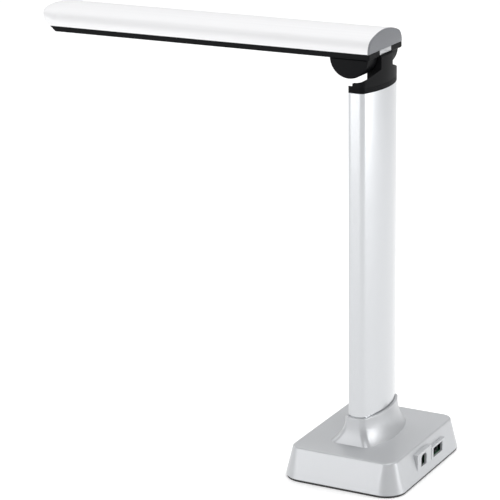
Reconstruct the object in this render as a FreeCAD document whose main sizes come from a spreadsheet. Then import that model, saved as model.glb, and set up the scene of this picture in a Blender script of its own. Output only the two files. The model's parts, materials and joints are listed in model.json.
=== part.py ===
"""Folding document camera (book scanner) as a parametric FreeCAD document, in millimetres.

Frame: origin at the centre of the base's bottom face, +Z up. The camera arm points along -X,
the sockets face +X and the width runs along Y. The arm folds about a pin along Y at the top of
the column. Every driving dimension is a cell of the spreadsheet "dims", and each sub-part is
bound to those cells by expressions. Each sub-part's label is the name of its STEP file.
"""

import FreeCAD, Part
import math
import os
import re

import Sketcher

DIMENSIONS = {
    # base
    "base_length": 94.0,
    "base_width": 120.0,
    "base_corner": 15.5,
    "base_height": 24.4,
    "base_top_length": 82.0,
    "base_top_width": 108.2,
    "base_top_corner": 8.0,
    "base_edge_round": 1.2,
    "base_wall": 2.2,
    "pad_height": 1.8,
    "pad_inset": 0.8,
    "plate_height": 1.5,
    "post_across": 33.5,
    "post_along": 45.5,
    "post_radius": 3.4,
    "ballast_front": -36.0,
    "ballast_back": 15.0,
    "ballast_width": 78.0,
    "ballast_height": 12.7,
    # sockets on the back of the base
    "boss_face": 45.5,
    "boss_wall": 1.8,
    "boss_depth": 8.0,
    "data_boss_left": -21.0,
    "data_boss_right": 2.8,
    "data_boss_top": 20.6,
    "host_boss_left": 3.8,
    "host_boss_right": 28.0,
    "host_boss_top": 17.6,
    "boss_bottom": 6.4,
    "data_mouth_centre": -10.1,
    "data_mouth_width": 9.2,
    "data_mouth_low": 9.3,
    "data_mouth_high": 18.1,
    "data_mouth_bevel": 1.8,
    "host_mouth_centre": 14.95,
    "host_mouth_width": 16.3,
    "host_mouth_low": 8.8,
    "host_mouth_high": 16.1,
    "board_low": 6.3,
    "board_height": 1.6,
    "socket_back": 28.0,
    "socket_wall": 0.5,
    # column and the collar round its foot
    "column_front": -7.6,
    "column_half_width": 28.2,
    "column_shoulder": 4.9,
    "column_apex": 11.0,
    "column_corner": 4.2,
    "column_wall": 1.8,
    "column_low": 19.5,
    "column_high": 282.8,
    "channel_across": 4.4,
    "channel_along": 17.5,
    "channel_radius": 3.0,
    "channel_bore": 1.3,
    "boot_high": 44.4,
    "boot_rim": 2.0,
    "boot_front": -20.4,
    "boot_half_width": 33.8,
    "boot_shoulder": 11.6,
    "boot_apex": 19.4,
    "boot_corner": 3.2,
    "fit_gap": 0.3,
    "foot_plate_height": 3.5,
    "plug_half_width": 12.5,
    "plug_high": 50.0,
    # hinge
    "axis_across": -7.4,
    "axis_height": 306.6,
    "bracket_lip": 287.3,
    "bracket_step": 289.7,
    "bracket_step_across": -3.0,
    "bracket_back": 297.4,
    "seat_radius": 15.5,
    "lug_half_width": 9.3,
    "lug_front": -0.7,
    "trough_front": 283.8,
    "trough_floor": 285.8,
    "trough_bend": -1.4,
    "trough_back": 2.8,
    "eye_radius": 10.5,
    "pin_radius": 3.0,
    "pin_half_length": 20.0,
    "bush_wall": 1.5,
    "running_gap": 0.05,
    "washer_radius": 6.5,
    "washer_height": 0.8,
    "cheek_inner": 9.8,
    "cheek_outer": 25.0,
    "cheek_radius": 14.7,
    "cheek_top": 312.6,
    "cheek_gap": 0.4,
    # arm
    "arm_back": 9.4,
    "arm_cap": 1.5,
    "arm_tip_start": -247.0,
    "arm_tip": -263.2,
    "arm_half_width": 26.8,
    "arm_low": 306.2,
    "arm_seam": 310.3,
    "arm_top": 323.9,
    "arm_crown": 60.0,
    "arm_shoulder": 9.0,
    "arm_wall": 1.5,
    "rib_along": 16.0,
    "rib_width": 5.0,
    "rib_low": 316.0,
    "tray_floor": 2.0,
    "slot_front": -19.5,
    "tab_low": 306.9,
    "tip_corner": 9.0,
    "lens_across": -229.0,
    "window_radius": 11.0,
    "window_depth": 1.4,
    "lamp_across": -196.0,
    "lamp_along": 13.0,
    "lamp_length": 9.0,
    "lamp_width": 9.0,
    "tray_screw_front": -236.0,
    "tray_screw_back": -40.0,
    "tray_screw_head": 1.0,
    "button_across": -170.0,
    "button_radius": 5.0,
    "button_travel": 0.8,
    "cable_width": 10.0,
    "cable_height": 0.8,
    "cable_across": 3.0,
    "cable_bend": 3.0,
    # screws
    "screw_shaft": 1.25,
    "screw_head": 2.7,
    "screw_head_height": 1.8,
}
SHEET = "dims"
TRAY_SCREW_SPOTS = [
    ("tray_screw_front", "rib_along"),
    ("tray_screw_front", "-rib_along"),
    ("tray_screw_back", "rib_along"),
    ("tray_screw_back", "-rib_along"),
]
CHEEK_SCREWS_ACROSS = ("axis_across - 11", "axis_across + 11")
CHEEK_SCREW_ALONG = "17"
POST_SPOTS = [
    ("post_across", "post_along"),
    ("post_across", "-post_along"),
    ("-post_across", "post_along"),
    ("-post_across", "-post_along"),
]
CHANNEL_SPOTS = [("channel_across", "channel_along"), ("channel_across", "-channel_along")]
NODES = []

document = FreeCAD.newDocument("book_scanner")


# ------------------------------------------------------------------------------ sheet helpers
def make_sheet():
    """Put every driving dimension in a cell with an alias."""
    sheet = document.addObject("Spreadsheet::Sheet", SHEET)
    for row, (alias, size) in enumerate(DIMENSIONS.items(), start=1):
        sheet.set(f"A{row}", alias)
        sheet.set(f"B{row}", str(size))
        sheet.setAlias(f"B{row}", alias)
    document.recompute()
    return sheet


def cells(text):
    """Point each alias in an expression at the spreadsheet."""
    return re.sub(r"[a-z_]+", lambda word: f"{SHEET}.{word[0]}" if word[0] in DIMENSIONS else word[0], text)


def number(text):
    """Work out an expression of aliases."""
    return float(SIZES.evalExpression(cells(text)))


def bind(thing, **sizes):
    """Bind properties of an object to expressions of aliases."""
    for name, text in sizes.items():
        thing.setExpression(name, cells(text))
    return thing


def place(thing, across="0", along="0", up="0"):
    """Bind an object's position along X, Y and Z."""
    for letter, text in zip("xyz", (across, along, up)):
        thing.setExpression(f".Placement.Base.{letter}", cells(text))
    return thing


def keep(thing, label):
    """Name a finished sub-part and list it for export."""
    thing.Label = label
    NODES.append(thing)
    return thing


# ------------------------------------------------------------------------------ sketch helpers
def locate(outline, geometry, position, across, up):
    """Hold a sketch point at two expressions, measured from the sketch's origin."""
    for kind, text in (("DistanceX", across), ("DistanceY", up)):
        index = outline.addConstraint(Sketcher.Constraint(kind, -1, 1, geometry, position, number(text)))
        outline.setExpression(f"Constraints[{index}]", cells(text))


def arc_between(start, end, radius, clockwise):
    """Return the short arc from start to end, always stored counter-clockwise."""
    chord = end.sub(start)
    left = FreeCAD.Vector(-chord.y, chord.x, 0).normalize()
    reach = math.sqrt(max(radius**2 - (chord.Length / 2) ** 2, 0))
    side = -1 if clockwise else 1
    centre = start + chord * 0.5 + left * reach * side
    angles = [math.atan2(point.y - centre.y, point.x - centre.x) for point in (start, end)]
    if clockwise:
        angles.reverse()
    return Part.ArcOfCircle(Part.Circle(centre, FreeCAD.Vector(0, 0, 1), radius), *angles)


def draw_loop(outline, corners):
    """Draw a closed loop. A corner is (across, up), or (across, up, radius) where an arc leaves it.

    A radius that starts with "-" turns clockwise.
    """
    points = [FreeCAD.Vector(number(corner[0]), number(corner[1]), 0) for corner in corners]
    ends = []
    for index, corner in enumerate(corners):
        start, end = points[index], points[(index + 1) % len(points)]
        if len(corner) == 2:
            geometry = outline.addGeometry(Part.LineSegment(start, end))
            ends.append((geometry, 1, 2))
            continue
        clockwise = corner[2].startswith("-")
        radius = corner[2].removeprefix("-")
        geometry = outline.addGeometry(arc_between(start, end, number(radius), clockwise))
        held = outline.addConstraint(Sketcher.Constraint("Radius", geometry, number(radius)))
        outline.setExpression(f"Constraints[{held}]", cells(radius))
        ends.append((geometry, 2, 1) if clockwise else (geometry, 1, 2))
    for index, corner in enumerate(corners):
        geometry, first, last = ends[index]
        following, next_first, _ = ends[(index + 1) % len(ends)]
        outline.addConstraint(Sketcher.Constraint("Coincident", geometry, last, following, next_first))
        locate(outline, geometry, first, corner[0], corner[1])


def sketch(body, plane, loops=(), circles=(), offset="0"):
    """Make a sketch on one of a body's origin planes, moved along the plane's normal."""
    outline = body.newObject("Sketcher::SketchObject", f"{body.Name}_sketch")
    base = next(item for item in body.Origin.OriginFeatures if item.Role == plane)
    outline.AttachmentSupport = (base, [""])
    outline.MapMode = "FlatFace"
    outline.setExpression(".AttachmentOffset.Base.z", cells(offset))
    for corners in loops:
        draw_loop(outline, corners)
    for across, up, radius in circles:
        centre = FreeCAD.Vector(number(across), number(up), 0)
        circle = Part.Circle(centre, FreeCAD.Vector(0, 0, 1), number(radius))
        geometry = outline.addGeometry(circle)
        held = outline.addConstraint(Sketcher.Constraint("Radius", geometry, number(radius)))
        outline.setExpression(f"Constraints[{held}]", cells(radius))
        locate(outline, geometry, 3, across, up)
    return outline


def rectangle(left, low, right, high):
    """Return the corners of a rectangle."""
    return [(left, low), (right, low), (right, high), (left, high)]


def rounded_rectangle(length, width, corner):
    """Return the corners of a rounded rectangle centred on the origin."""
    right, inner_right = f"({length}) / 2", f"({length}) / 2 - ({corner})"
    top, inner_top = f"({width}) / 2", f"({width}) / 2 - ({corner})"
    return [
        (f"-({inner_right})", f"-({top})"),
        (inner_right, f"-({top})", corner),
        (right, f"-({inner_top})"),
        (right, inner_top, corner),
        (inner_right, top),
        (f"-({inner_right})", top, corner),
        (f"-({right})", inner_top),
        (f"-({right})", f"-({inner_top})", corner),
    ]


def d_section(front, half_width, shoulder, apex):
    """Return a D: flat front and sides, and a shallow arc for the back."""
    rise = f"(({apex}) - ({shoulder}))"
    back = f"(({half_width})^2 + {rise}^2) / (2 * {rise})"
    return [
        (front, f"-({half_width})"),
        (shoulder, f"-({half_width})", back),
        (shoulder, half_width),
        (front, half_width),
    ]


def column_section(grow):
    """Return the column's D, grown on every side (or shrunk by a negative amount)."""
    return d_section(
        f"column_front - ({grow})",
        f"column_half_width + ({grow})",
        f"column_shoulder + ({grow}) / 2",
        f"column_apex + ({grow})",
    )


def oval_section(inset, low="arm_seam"):
    """Return the arm's half oval in the YZ plane: a wide crown with tight shoulders."""
    half_width = f"(arm_half_width - {inset})"
    side = "(arm_half_width - arm_shoulder)"
    span = "(arm_crown - arm_shoulder)"
    rise = f"sqrt({span}^2 - {side}^2)"
    middle = "(arm_top - arm_crown)"
    ratio = f"((arm_crown - {inset}) / {span})"
    spring = f"{middle} + {rise}"
    turn, turn_up = f"{side} * {ratio}", f"{middle} + {rise} * {ratio}"
    shoulder = f"arm_shoulder - {inset}"
    return [
        (half_width, low),
        (half_width, spring, shoulder),
        (turn, turn_up, f"arm_crown - {inset}"),
        (f"-({turn})", turn_up, shoulder),
        (f"-{half_width}", spring),
        (f"-{half_width}", low),
    ]


# ------------------------------------------------------------------------------ feature helpers
def new_body(label):
    """Start a PartDesign body for a sub-part."""
    body = document.addObject("PartDesign::Body", label)
    return keep(body, label)


def extrude(body, kind, outline, length=None, side="One side", reverse=False):
    """Pad or pocket a sketch. Without a length, a pocket goes through everything."""
    feature = body.newObject(f"PartDesign::{kind}", f"{body.Name}_{kind.lower()}")
    feature.Profile = outline
    feature.SideType = side
    feature.Reversed = reverse
    if length is None:
        feature.Type = "ThroughAll"
    else:
        bind(feature, Length=length)
    return feature


def pad(body, outline, length, **options):
    """Add a sketch's shape to a body."""
    return extrude(body, "Pad", outline, length, **options)


def pocket(body, outline, length=None, **options):
    """Cut a sketch's shape out of a body, and make sure that it cut something."""
    document.recompute()
    before = body.Shape.Volume
    feature = extrude(body, "Pocket", outline, length, **options)
    document.recompute()
    if body.Shape.Volume > before - 1e-3:
        raise RuntimeError(f"{feature.Label} cuts nothing")
    return feature


def loft(body, kind, sections):
    """Loft through sketches, adding to the body or cutting from it."""
    feature = body.newObject(f"PartDesign::{kind}", f"{body.Name}_loft")
    feature.Profile = sections[0]
    feature.Sections = sections[1:]
    feature.Ruled = True
    return feature


def round_edges(body, radius, chosen):
    """Fillet the edges of the body's tip that the test picks."""
    document.recompute()
    base = body.Tip
    names = [f"Edge{number_}" for number_, edge in enumerate(base.Shape.Edges, start=1) if chosen(edge)]
    feature = body.newObject("PartDesign::Fillet", f"{body.Name}_round")
    feature.Base = (base, names)
    bind(feature, Radius=radius)
    return feature


def is_upright(edge):
    """Say whether an edge is a straight line along Z."""
    first, last = edge.Vertexes[0].Point, edge.Vertexes[-1].Point
    return math.hypot(first.x - last.x, first.y - last.y) < 1e-6 and abs(first.z - last.z) > 1e-3


def box(name, low, size):
    """Make a Part box from its lowest corner and its size."""
    block = document.addObject("Part::Box", name)
    bind(block, Length=size[0], Width=size[1], Height=size[2])
    return place(block, *low)


def cylinder(name, base, radius, height, along_y=False):
    """Make a Part cylinder from the centre of its low face, along Z or along Y."""
    rod = document.addObject("Part::Cylinder", name)
    if along_y:
        rod.Placement.Rotation = FreeCAD.Rotation(FreeCAD.Vector(1, 0, 0), -90)
    bind(rod, Radius=radius, Height=height)
    return place(rod, *base)


def cut(name, base, *tools):
    """Cut tools out of a base, one after another."""
    for index, tool in enumerate(tools):
        result = document.addObject("Part::Cut", f"{name}_cut_{index}")
        result.Base = base
        result.Tool = tool
        base = result
    return base


def fuse(name, *pieces):
    """Join pieces into one solid."""
    result = document.addObject("Part::MultiFuse", name)
    result.Shapes = list(pieces)
    return result


def group(label, pieces):
    """Keep separate identical solids as one node."""
    result = document.addObject("Part::Compound", f"{label}_group")
    result.Links = list(pieces)
    return keep(result, label)


def screws(label, spots, seat, length, head_up=True, head_height="screw_head_height"):
    """Make upright screws: the head starts at the seat height, the shaft leaves it the other way."""
    made = []
    for index, (across, along) in enumerate(spots):
        head_low = seat if head_up else f"({seat}) - {head_height}"
        shaft_low = f"({seat}) - ({length})" if head_up else seat
        head = cylinder(f"{label}_head", (across, along, head_low), "screw_head", head_height)
        rod = cylinder(f"{label}_shaft", (across, along, shaft_low), "screw_shaft", length)
        made.append(fuse(f"{label}_{index}", head, rod))
    return group(label, made)


# ------------------------------------------------------------------------------ base
def make_rubber_pad():
    """The soft pad under the whole base."""
    body = new_body("rubber_pad")
    length, width = "base_length - 2 * pad_inset", "base_width - 2 * pad_inset"
    shape = rounded_rectangle(length, width, "base_corner - pad_inset")
    pad(body, sketch(body, "XY_Plane", [shape]), "pad_height")


def make_base_plate():
    """The steel plate that closes the base, with four screw holes."""
    body = new_body("base_plate")
    inset = "(base_wall + 4 * fit_gap)"
    length, width = f"base_length - 2 * {inset}", f"base_width - 2 * {inset}"
    shape = rounded_rectangle(length, width, f"base_corner - {inset}")
    holes = [(*spot, "screw_shaft + fit_gap") for spot in POST_SPOTS]
    heads = [(*spot, "screw_head + fit_gap") for spot in POST_SPOTS]
    pad(body, sketch(body, "XY_Plane", [shape], offset="pad_height"), "screw_head_height + 1")
    inner = rounded_rectangle("base_length - 20", "base_width - 34", "base_corner / 2")
    pocket(body, sketch(body, "XY_Plane", [inner], offset="pad_height + plate_height"), reverse=True)
    pocket(body, sketch(body, "XY_Plane", circles=holes, offset="pad_height"), reverse=True)
    sinks = sketch(body, "XY_Plane", circles=heads, offset="pad_height")
    pocket(body, sinks, "screw_head_height", reverse=True)


def make_base_cover():
    """The moulded base: a tapered shell with two socket bosses, screw posts and a column opening."""
    body = new_body("base_cover")
    sections = [tapered_section(body, "pad_height", "0")]
    for angle in (0, 30, 60, 90):
        drop = f"base_edge_round * {1 - math.sin(math.radians(angle)):.4f}"
        inset = f"base_edge_round * {1 - math.cos(math.radians(angle)):.4f}"
        sections.append(tapered_section(body, f"base_height - {drop}", inset))
    loft(body, "AdditiveLoft", sections)
    for name in ("data", "host"):
        front = rectangle(f"{name}_boss_left", "boss_bottom", f"{name}_boss_right", f"{name}_boss_top")
        pad(body, sketch(body, "YZ_Plane", [front], offset="boss_face"), "boss_depth", reverse=True)
    hollow = [
        tapered_section(body, "pad_height", "base_wall"),
        tapered_section(body, "base_height - base_wall", "base_wall"),
    ]
    loft(body, "SubtractiveLoft", hollow)
    for name in ("data", "host"):
        room = rectangle(
            f"{name}_boss_left + boss_wall",
            "boss_bottom + boss_wall / 2",
            f"{name}_boss_right - boss_wall",
            f"{name}_boss_top - boss_wall",
        )
        inside = sketch(body, "YZ_Plane", [room], offset="boss_face - boss_wall")
        pocket(body, inside, "boss_depth + 4")
    make_mouths(body)
    posts = [(*spot, "post_radius") for spot in POST_SPOTS]
    low_end = "pad_height + screw_head_height + 1"
    pillar = sketch(body, "XY_Plane", circles=posts, offset=low_end)
    pad(body, pillar, f"base_height - base_wall / 2 - ({low_end})")
    bores = [(*spot, "screw_shaft + running_gap") for spot in POST_SPOTS]
    pocket(body, sketch(body, "XY_Plane", circles=bores, offset=low_end), "10", reverse=True)
    opening = sketch(body, "XY_Plane", [column_section("fit_gap")], offset="base_height - 2 * base_wall")
    pocket(body, opening, reverse=True)


def tapered_section(body, height, inset):
    """Sketch the base's outline at a height, moved inwards by an inset."""
    share = f"((({height}) - pad_height) / (base_height - pad_height))"
    length = f"base_length + (base_top_length - base_length) * {share} - 2 * {inset}"
    width = f"base_width + (base_top_width - base_width) * {share} - 2 * {inset}"
    corner = f"base_corner + (base_top_corner - base_corner) * {share} - {inset}"
    return sketch(body, "XY_Plane", [rounded_rectangle(length, width, corner)], offset=height)


def make_mouths(body):
    """Cut the two socket mouths: a square one with bevelled top corners and a flat one."""
    left = "data_mouth_centre - data_mouth_width / 2"
    right = "data_mouth_centre + data_mouth_width / 2"
    data = [
        (left, "data_mouth_low"),
        (right, "data_mouth_low"),
        (right, "data_mouth_high - data_mouth_bevel"),
        (f"{right} - data_mouth_bevel", "data_mouth_high"),
        (f"{left} + data_mouth_bevel", "data_mouth_high"),
        (left, "data_mouth_high - data_mouth_bevel"),
    ]
    host = rectangle(
        "host_mouth_centre - host_mouth_width / 2",
        "host_mouth_low",
        "host_mouth_centre + host_mouth_width / 2",
        "host_mouth_high",
    )
    pocket(body, sketch(body, "YZ_Plane", [data, host], offset="boss_face + 1"), "boss_wall + 3")


def make_ballast():
    """The steel block that keeps the arm from tipping the base, with a slot for the cable."""
    floor = "pad_height + plate_height"
    size = ("ballast_back - ballast_front", "ballast_width", "ballast_height")
    block = box("ballast_box", ("ballast_front", "-ballast_width / 2", floor), size)
    slot_size = ("20", "cable_width + 2", "ballast_height + 1")
    slot = box("ballast_slot", ("cable_across - 1", "-cable_width / 2 - 1", floor), slot_size)
    keep(cut("ballast", block, slot), "ballast_block")


def make_sockets():
    """The socket board, the two metal socket shells and the tongues inside them."""
    board_top = "(board_low + board_height)"
    board_size = ("25", "45.5", "board_height")
    keep(box("board", ("18", "-17", "board_low"), board_size), "usb_board")
    middle, tall = "data_mouth_centre", "(data_mouth_low + data_mouth_high) / 2"
    shell = box("data_box", ("socket_back", f"{middle} - 6", board_top), ("14.8", "12", "10.6"))
    room = box("data_room", ("socket_back + 1", f"{middle} - 4.4", f"{tall} - 4.1"), ("20", "8.8", "8.2"))
    keep(cut("data", shell, room), "usb_b_shell")
    tongue = box("data_tongue", ("socket_back + 1", f"{middle} - 2.8", f"{tall} - 1.6"), ("12", "5.6", "3.2"))
    keep(tongue, "usb_b_tongue")
    middle, tall = "host_mouth_centre", "(host_mouth_low + host_mouth_high) / 2"
    shell = box("host_box", ("socket_back", f"{middle} - 7.3", board_top), ("14.8", "14.6", "7.6"))
    room = box("host_room", ("socket_back + 1", f"{middle} - 6.6", f"{tall} - 3"), ("20", "13.2", "6"))
    keep(cut("host", shell, room), "usb_a_shell")
    tongue = box("host_tongue", ("socket_back + 1", f"{middle} - 5.5", f"{tall} + 0.2"), ("12", "11", "1.9"))
    keep(tongue, "usb_a_tongue")
    spacers, heads = [], []
    floor = "pad_height + plate_height"
    for along in ("-13", "24"):
        spacers.append(cylinder("spacer", ("22", along, floor), "2.5", f"board_low - ({floor})"))
        heads.append(cylinder("board_head", ("22", along, board_top), "screw_head", "screw_head_height"))
    group("board_spacers", spacers)
    group("board_screws", heads)


def make_base_screws():
    """The four screws that hold the plate to the cover's posts."""
    screws("base_screws", POST_SPOTS, "pad_height + screw_head_height", "9", head_up=False)


# ------------------------------------------------------------------------------ column
def make_boot():
    """The flared collar round the column's foot."""
    body = new_body("column_boot")
    sections = []
    for step in (0.0, 0.12, 0.3, 0.55, 0.8, 1.0):
        left_over = f"{(1 - step) ** 2.4:.4f}"
        shape = d_section(
            f"column_front - boot_rim + (boot_front - column_front + boot_rim) * {left_over}",
            f"column_half_width + boot_rim + (boot_half_width - column_half_width - boot_rim) * {left_over}",
            f"column_shoulder + 1 + (boot_shoulder - column_shoulder - 1) * {left_over}",
            f"column_apex + boot_rim + (boot_apex - column_apex - boot_rim) * {left_over}",
        )
        height = f"base_height + (boot_high - base_height) * {step}"
        sections.append(sketch(body, "XY_Plane", [shape], offset=height))
    loft(body, "AdditiveLoft", sections)
    pocket(body, sketch(body, "XY_Plane", [column_section("fit_gap / 2")]), reverse=True)


def make_column():
    """The extruded D tube, with two screw channels on the inside of its back wall."""
    body = new_body("column_tube")
    length = "column_high - column_low"
    pad(body, sketch(body, "XY_Plane", [column_section("0")], offset="column_low"), length)
    round_edges(body, "column_corner", is_upright)
    hollow = column_section("-column_wall")
    pocket(body, sketch(body, "XY_Plane", [hollow], offset="column_low"), reverse=True)
    ribs = [(across, along, "channel_radius") for across, along in CHANNEL_SPOTS]
    pad(body, sketch(body, "XY_Plane", circles=ribs, offset="column_low"), length)
    bores = [(across, along, "channel_bore + running_gap") for across, along in CHANNEL_SPOTS]
    pocket(body, sketch(body, "XY_Plane", circles=bores, offset="column_low"), reverse=True)


def make_foot():
    """The foot plate on the ballast, with a plug that fills the bottom of the column."""
    low = "pad_height + plate_height + ballast_height"
    plate = box("foot_plate", ("-20", "-33", low), ("44", "66", f"column_low - ({low})"))
    plug = box(
        "foot_plug",
        ("column_front + column_wall + fit_gap / 2", "-plug_half_width", "column_low"),
        ("10.6", "2 * plug_half_width", "plug_high - column_low"),
    )
    slot_size = ("cable_height + 2.2", "cable_width + 2", "60")
    slot = box("foot_slot", ("cable_across - 1", "-cable_width / 2 - 1", low), slot_size)
    keep(cut("foot", fuse("foot_fuse", plate, plug), slot), "column_foot_bracket")
    made = []
    for across, along in (("-14", "27"), ("-14", "-27"), ("15", "30"), ("15", "-30")):
        made.append(cylinder("foot_head", (across, along, "column_low"), "screw_head", "screw_head_height"))
    group("column_foot_screws", made)


def make_column_cable():
    """The ribbon cable that runs from the socket board up the inside of the column."""
    body = new_body("column_cable")
    top, level, end = "column_high - 12", "(board_low + board_height + 4)", "17.6"
    outer, inner = "cable_bend", "cable_bend - cable_height"
    run = [
        ("cable_across", top),
        ("cable_across", f"{level} + cable_bend", outer),
        ("cable_across + cable_bend", level),
        (end, level),
        (end, f"{level} + cable_height"),
        ("cable_across + cable_bend", f"{level} + cable_height", f"-{inner}"),
        ("cable_across + cable_height", f"{level} + cable_bend"),
        ("cable_across + cable_height", top),
    ]
    pad(body, sketch(body, "XZ_Plane", [run]), "cable_width", side="Symmetric")


# ------------------------------------------------------------------------------ hinge
def make_bracket():
    """The black head of the column: a curved seat for the cheeks with a lug in the middle."""
    body = new_body("hinge_bracket")
    height = "axis_height - column_high"
    pad(body, sketch(body, "XY_Plane", [column_section("0")], offset="column_high"), height)
    round_edges(body, "column_corner", is_upright)
    ahead, behind, above = "column_front - 2", "column_apex + 2", "axis_height + 2"
    seat = [
        (ahead, "bracket_lip"),
        ("bracket_step_across", "bracket_lip"),
        ("bracket_step_across", "bracket_step", "seat_radius"),
        ("column_apex - 0.5", "bracket_back"),
        (behind, "bracket_back"),
        (behind, above),
        (ahead, above),
    ]
    near = sketch(body, "XZ_Plane", [seat], offset="lug_half_width")
    pocket(body, near, reverse=True)
    far = sketch(body, "XZ_Plane", [seat], offset="-lug_half_width")
    pocket(body, far)
    mouth = [(ahead, "trough_front"), ("column_front", "trough_front"), ("trough_bend", "trough_floor")]
    throat = [*mouth, ("lug_front", "trough_floor"), ("lug_front", above), (ahead, above)]
    width = "cheek_outer + cheek_gap"
    pocket(body, sketch(body, "XZ_Plane", [throat]), f"2 * ({width})", side="Symmetric")
    trough = [*mouth, ("trough_back", "trough_floor"), ("trough_back", above), (ahead, above)]
    for side, reverse in (("lug_half_width", True), ("-lug_half_width", False)):
        room = sketch(body, "XZ_Plane", [trough], offset=side)
        pocket(body, room, f"{width} - lug_half_width", reverse=reverse)
    eye = sketch(body, "XZ_Plane", circles=[("axis_across", "axis_height", "eye_radius")])
    pad(body, eye, "2 * lug_half_width", side="Symmetric")
    bore = ("axis_across", "axis_height", "pin_radius + bush_wall + running_gap")
    pocket(body, sketch(body, "XZ_Plane", circles=[bore]), side="Symmetric")
    for side, reverse in (("lug_half_width", True), ("-lug_half_width", False)):
        rest = [("axis_across", "axis_height", "washer_radius + running_gap")]
        recess = sketch(body, "XZ_Plane", circles=rest, offset=side)
        pocket(body, recess, "washer_height - 0.2", reverse=not reverse)
    plug = rectangle(
        "column_front + column_wall + fit_gap / 2",
        "-plug_half_width",
        "column_front + column_wall + fit_gap / 2 + 10.6",
        "plug_half_width",
    )
    pad(body, sketch(body, "XY_Plane", [plug], offset="column_high"), "18", reverse=True)
    slot = rectangle("cable_across - 1", "-cable_width / 2 - 1", "cable_across + 2", "cable_width / 2 + 1")
    pocket(body, sketch(body, "XY_Plane", [slot], offset="column_high - 20"), "25", reverse=True)
    wells = [(across, along, "screw_head + fit_gap") for across, along in CHANNEL_SPOTS]
    pocket(body, sketch(body, "XY_Plane", circles=wells, offset="column_high + 3"), reverse=True)
    holes = [(across, along, "screw_shaft + fit_gap") for across, along in CHANNEL_SPOTS]
    pocket(body, sketch(body, "XY_Plane", circles=holes, offset="column_high - 5"), reverse=True)


def make_hinge_hardware():
    """The pin, its bushes, the friction washers and the bracket's screws."""
    low = ("axis_across", "-pin_half_length", "axis_height")
    keep(cylinder("pin", low, "pin_radius", "2 * pin_half_length", along_y=True), "hinge_pin")
    bushes, washers = [], []
    bore = "pin_radius + running_gap"
    bush_length = "lug_half_width - 1"
    for side in ("-", ""):
        near = f"-({bush_length})" if side else "0.2"
        start = ("axis_across", near, "axis_height")
        tube = cylinder("bush_tube", start, "pin_radius + bush_wall", f"{bush_length} - 0.2", along_y=True)
        hole = cylinder("bush_hole", start, bore, "lug_half_width", along_y=True)
        bushes.append(cut("bush", tube, hole))
        inner = "-lug_half_width - 0.2" if side else "lug_half_width + 0.2 - washer_height"
        spot = ("axis_across", inner, "axis_height")
        disc = cylinder("washer_disc", spot, "washer_radius", "washer_height", along_y=True)
        hole = cylinder("washer_hole", spot, "pin_radius + fit_gap", "2", along_y=True)
        washers.append(cut("washer", disc, hole))
    group("hinge_bushes", bushes)
    group("friction_washers", washers)
    screws("bracket_screws", CHANNEL_SPOTS, "column_high + 3", "18")


def make_cheek(label, sign):
    """One of the two half-round cheeks that hang from the arm beside the lug."""
    body = new_body(label)
    reach = "sqrt(cheek_radius^2 + (axis_height - arm_low)^2)"
    half_round = [
        ("axis_across - cheek_radius", "arm_low", reach),
        ("axis_across", f"axis_height - {reach}", reach),
        ("axis_across + cheek_radius", "arm_low"),
    ]
    thickness = "cheek_outer - cheek_inner"
    start = "cheek_inner" if sign < 0 else "-cheek_inner"
    away = sign > 0
    pad(body, sketch(body, "XZ_Plane", [half_round], offset=start), thickness, reverse=away)
    tower = rectangle("axis_across - 7", "arm_low - 1", "axis_across + 7", "cheek_top")
    tower_sketch = sketch(body, "XZ_Plane", [tower], offset=start)
    pad(body, tower_sketch, "pin_half_length + 2 - cheek_inner", reverse=away)
    bore = ("axis_across", "axis_height", "pin_radius + 0.01")
    bore_sketch = sketch(body, "XZ_Plane", circles=[bore], offset=start)
    pocket(body, bore_sketch, "pin_half_length + 0.3 - cheek_inner", reverse=not away)
    along = f"{'' if sign > 0 else '-'}{CHEEK_SCREW_ALONG}"
    holes = [(across, along, "screw_shaft + running_gap") for across in CHEEK_SCREWS_ACROSS]
    pocket(body, sketch(body, "XY_Plane", circles=holes, offset="arm_low"), "7")


# ------------------------------------------------------------------------------ arm
def make_arm_shell():
    """The extruded half-oval top of the arm, with two screw ribs under its crown."""
    body = new_body("arm_shell")
    length = "arm_back - arm_cap - arm_tip_start"
    outer = oval_section("0")
    inner = oval_section("arm_wall", low="arm_seam - 1")
    pad(body, sketch(body, "YZ_Plane", [outer], offset="arm_tip_start"), length)
    pocket(body, sketch(body, "YZ_Plane", [inner], offset="arm_tip_start"), reverse=True)
    ribs = []
    for middle in ("rib_along", "-rib_along"):
        left, right = f"{middle} - rib_width / 2", f"{middle} + rib_width / 2"
        ribs.append(rectangle(left, "rib_low", right, "arm_top - 3"))
    pad(body, sketch(body, "YZ_Plane", ribs, offset="arm_tip_start + 4"), "slot_front - arm_tip_start - 6")
    bores = [(across, along, "screw_shaft + running_gap") for across, along in TRAY_SCREW_SPOTS]
    pocket(body, sketch(body, "XY_Plane", circles=bores, offset="rib_low - 1"), "5", reverse=True)


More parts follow.
